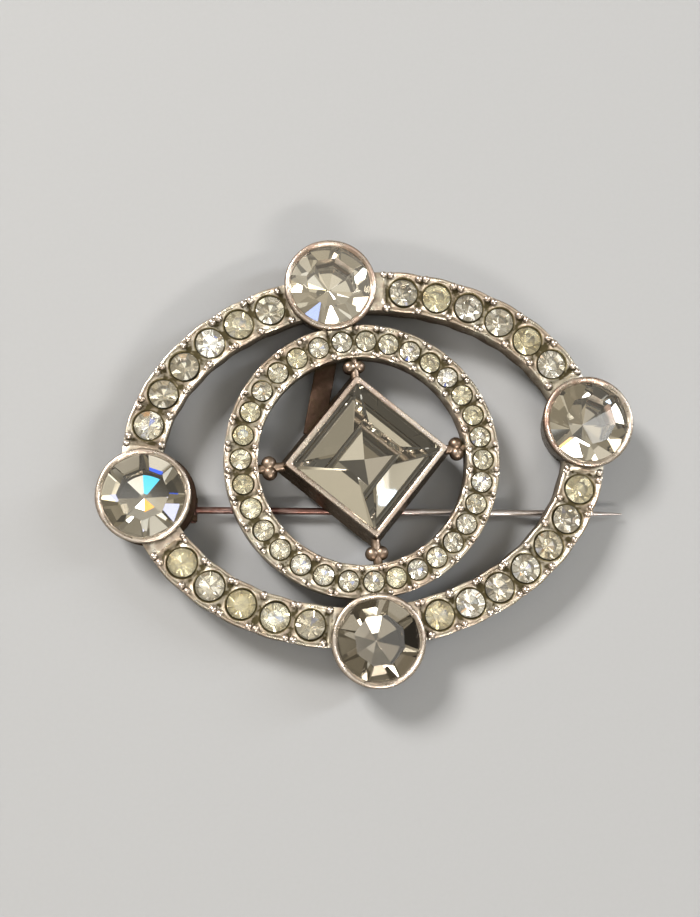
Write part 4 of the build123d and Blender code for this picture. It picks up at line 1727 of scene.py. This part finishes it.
    def _lit_by(self, flash: Flash) -> tuple[Vector, Vector]:
        """Find where the lamp of a flash hangs.

        Args:
            flash: The flash.

        Returns:
            The lamp's place in metres, and the way that the light path leaves the stone.
        """
        stone, turn = self.stones[flash.stone], radians(flash.turn)
        shares = np.array([[flash.out * cos(turn), flash.out * sin(turn)]])
        ways = self.view.rays(stone.place + Vector((0, 0, self.flash_height)), stone.half, shares)
        spots, left = stone.follow(self.view.place, ways)
        way = Vector(left[0])
        return (Vector(spots[0]) + way * flash.reach) * MM, way

    @staticmethod
    def _lamp(name: str, spot: Vector, size: tuple[float, float], power: float, colour: Colour) -> None:
        """Hang one lamp that faces the brooch.

        Args:
            name: The lamp's name.
            spot: Where it hangs, in metres.
            size: Its width and height in metres.
            power: Its power in watts.
            colour: Its colour.
        """
        light = bpy.data.lights.new(name, "AREA")
        light.shape = "RECTANGLE"
        light.size, light.size_y = size
        light.energy = power
        light.color = colour
        holder = bpy.data.objects.new(name, light)
        holder.location = spot
        holder.rotation_euler = spot.to_track_quat("Z", "Y").to_euler()
        bpy.context.scene.collection.objects.link(holder)

    def _floor(self) -> None:
        """Lay the pale floor."""
        bm = bmesh.new()
        bmesh.ops.create_grid(bm, x_segments=1, y_segments=1, size=self.floor_half)
        mesh = bpy.data.meshes.new("floor")
        bm.to_mesh(mesh)
        bm.free()
        mesh.materials.append(StudioPaper().material())
        floor_piece = bpy.data.objects.new("floor", mesh)
        bpy.context.scene.collection.objects.link(floor_piece)

    def _room(self, panels: Iterable[Panel]) -> None:
        """Give the room its dim walls and the panels overhead, which the facets mirror."""
        world = bpy.data.worlds.new("room")
        bpy.context.scene.world = world
        graph = Graph(world)
        way = graph.node("ShaderNodeTexCoord", {}, {}).outputs["Generated"]
        height = Signal(graph, graph.node("ShaderNodeSeparateXYZ", {}, {0: way}).outputs["Z"])
        colour = graph.mix(height.eased(0.2, 0.9), self.wall, self.ceiling)
        for panel in panels:
            turn, off = radians(panel.azimuth), radians(panel.off_zenith)
            middle = (sin(off) * cos(turn), sin(off) * sin(turn), cos(off))
            near = graph.node("ShaderNodeVectorMath", {"operation": "DOT_PRODUCT"}, {0: way, 1: middle})
            edge, core = cos(radians(panel.edge)), cos(radians(panel.core))
            colour = graph.mix(Signal(graph, near.outputs["Value"]).eased(edge, core), colour, panel.colour)
        light = graph.node("ShaderNodeBackground", {}, {"Color": colour, "Strength": 1.0})
        graph.node("ShaderNodeOutputWorld", {}, {"Surface": light.outputs[0]})

    def _camera(self) -> None:
        """Set the camera where the photograph was taken from."""
        data = bpy.data.cameras.new("camera")
        data.lens = self.view.lens
        data.sensor_width = 36.0
        data.clip_start = 0.005
        camera = bpy.data.objects.new("camera", data)
        turn = Matrix(self.view.axes()).transposed().to_4x4()
        camera.matrix_world = Matrix.Translation(self.view.place * MM) @ turn
        bpy.context.scene.collection.objects.link(camera)
        bpy.context.scene.camera = camera


def main() -> None:
    """Build the brooch piece by piece and set it in the studio."""
    logging.basicConfig(level=logging.INFO, format="%(name)s: %(message)s")
    rims = {"right": 0.9, "top": 0.6, "left": 0.25, "bottom": 0.2, "square": 0.4}
    rim = {
        name: CastMetal(
            f"{name}_cup_rim", silver=(0.86, 0.76, 0.65), rose=(0.62, 0.39, 0.30), rose_share=share,
            stain_share=0.45, roughness=0.28, relief=0.00006,
        ).material()
        for name, share in rims.items()
    }
    metals = Metals(
        CastMetal("worn_cast_metal").material(),
        CastMetal(
            "tarnished_seat", silver=(0.44, 0.38, 0.21), rose=(0.28, 0.21, 0.11), roughness=0.4
        ).material(),
        CastMetal(
            "rubbed_grain", silver=(0.92, 0.84, 0.75), rose_share=0.4, stain_share=0.2, relief=0.00002
        ).material(),
        rim,
        CastMetal(
            "coppered_joint", silver=(0.46, 0.36, 0.28), rose=(0.20, 0.12, 0.08), roughness=0.36
        ).material(),
        CastMetal(
            "browned_back", silver=(0.085, 0.052, 0.038), rose=(0.05, 0.03, 0.02), roughness=0.45
        ).material(),
        PinWire().material(),
    )
    crown = GlassCrown("large_stone_glass").material()
    # Each foil's painted glow strength lightens its facets, though no foil is a lamp.
    large = {
        "left": MirrorFoil("left_stone_foil", cloud=0.04),
        "top": MirrorFoil("top_stone_foil", cloud=0.04, painted_glow_strength=0.11),
        "right": MirrorFoil("right_stone_foil", cloud=0.04, painted_glow_strength=0.05),
        "bottom": MirrorFoil(
            "bottom_stone_foil", clear=(0.74, 0.71, 0.66), painted_facet_shade=(0.46, 0.44, 0.40), cloud=0.04, painted_glow_strength=0.01
        ),
        "square": MirrorFoil("square_stone_foil", cloud=0.04, painted_glow_strength=0.04),
    }
    # The small stones' foil gives off a painted glow as well.
    small = Glass(
        GlassCrown("small_stone_glass").material(),
        MirrorFoil("small_stone_foil", roughness=0.07, painted_shade_from=0.75, painted_glow_strength=0.07).material(),
    )
    places = (("right", 3.5, 0.44, 10.0), ("top", 94.2, 0.69, 3.0), ("left", 185.5, 0.14, 17.0),
              ("bottom", 267.1, 1.22, 0.0))
    cups = {name: RoundCup(name, turn, out, stone_turn) for name, turn, out, stone_turn in places}
    for number, cup in enumerate(cups.values()):
        cup.build(metals)
        cup.set_stone(Glass(crown, large[cup.name].material()), 40 + number)
    band = OvalBand(cups)
    band.build(metals)
    band.set_stones(small)
    ring = InnerRing(cups)
    ring.build(metals)
    ring.set_stones(small)
    square = SquareCup(ring)
    square.build(metals)
    square.set_stone(Glass(crown, large["square"].material()))
    BackFittings(cups, ring, square).build(metals)
    for node in ("pin_stem", "hinge_rivet"):
        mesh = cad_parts[node].data
        mesh.materials.clear()
        mesh.materials.append(metals.wire)
        LOG.info("%s: kept from the frame", node)
    stones = {
        name: FacetedStone(ROUND_CUT, SHIFT + cup.middle + Vector((0, 0, cup.girdle)), cup.stone_turn)
        for name, cup in cups.items()
    }
    at = SHIFT + square.middle + Vector((0, 0, square.girdle))
    stones["square"] = FacetedStone(LIGHT_SQUARE_CUT, at, 0.0)
    Studio(stones).build()


if __name__ == "__main__":
    main()
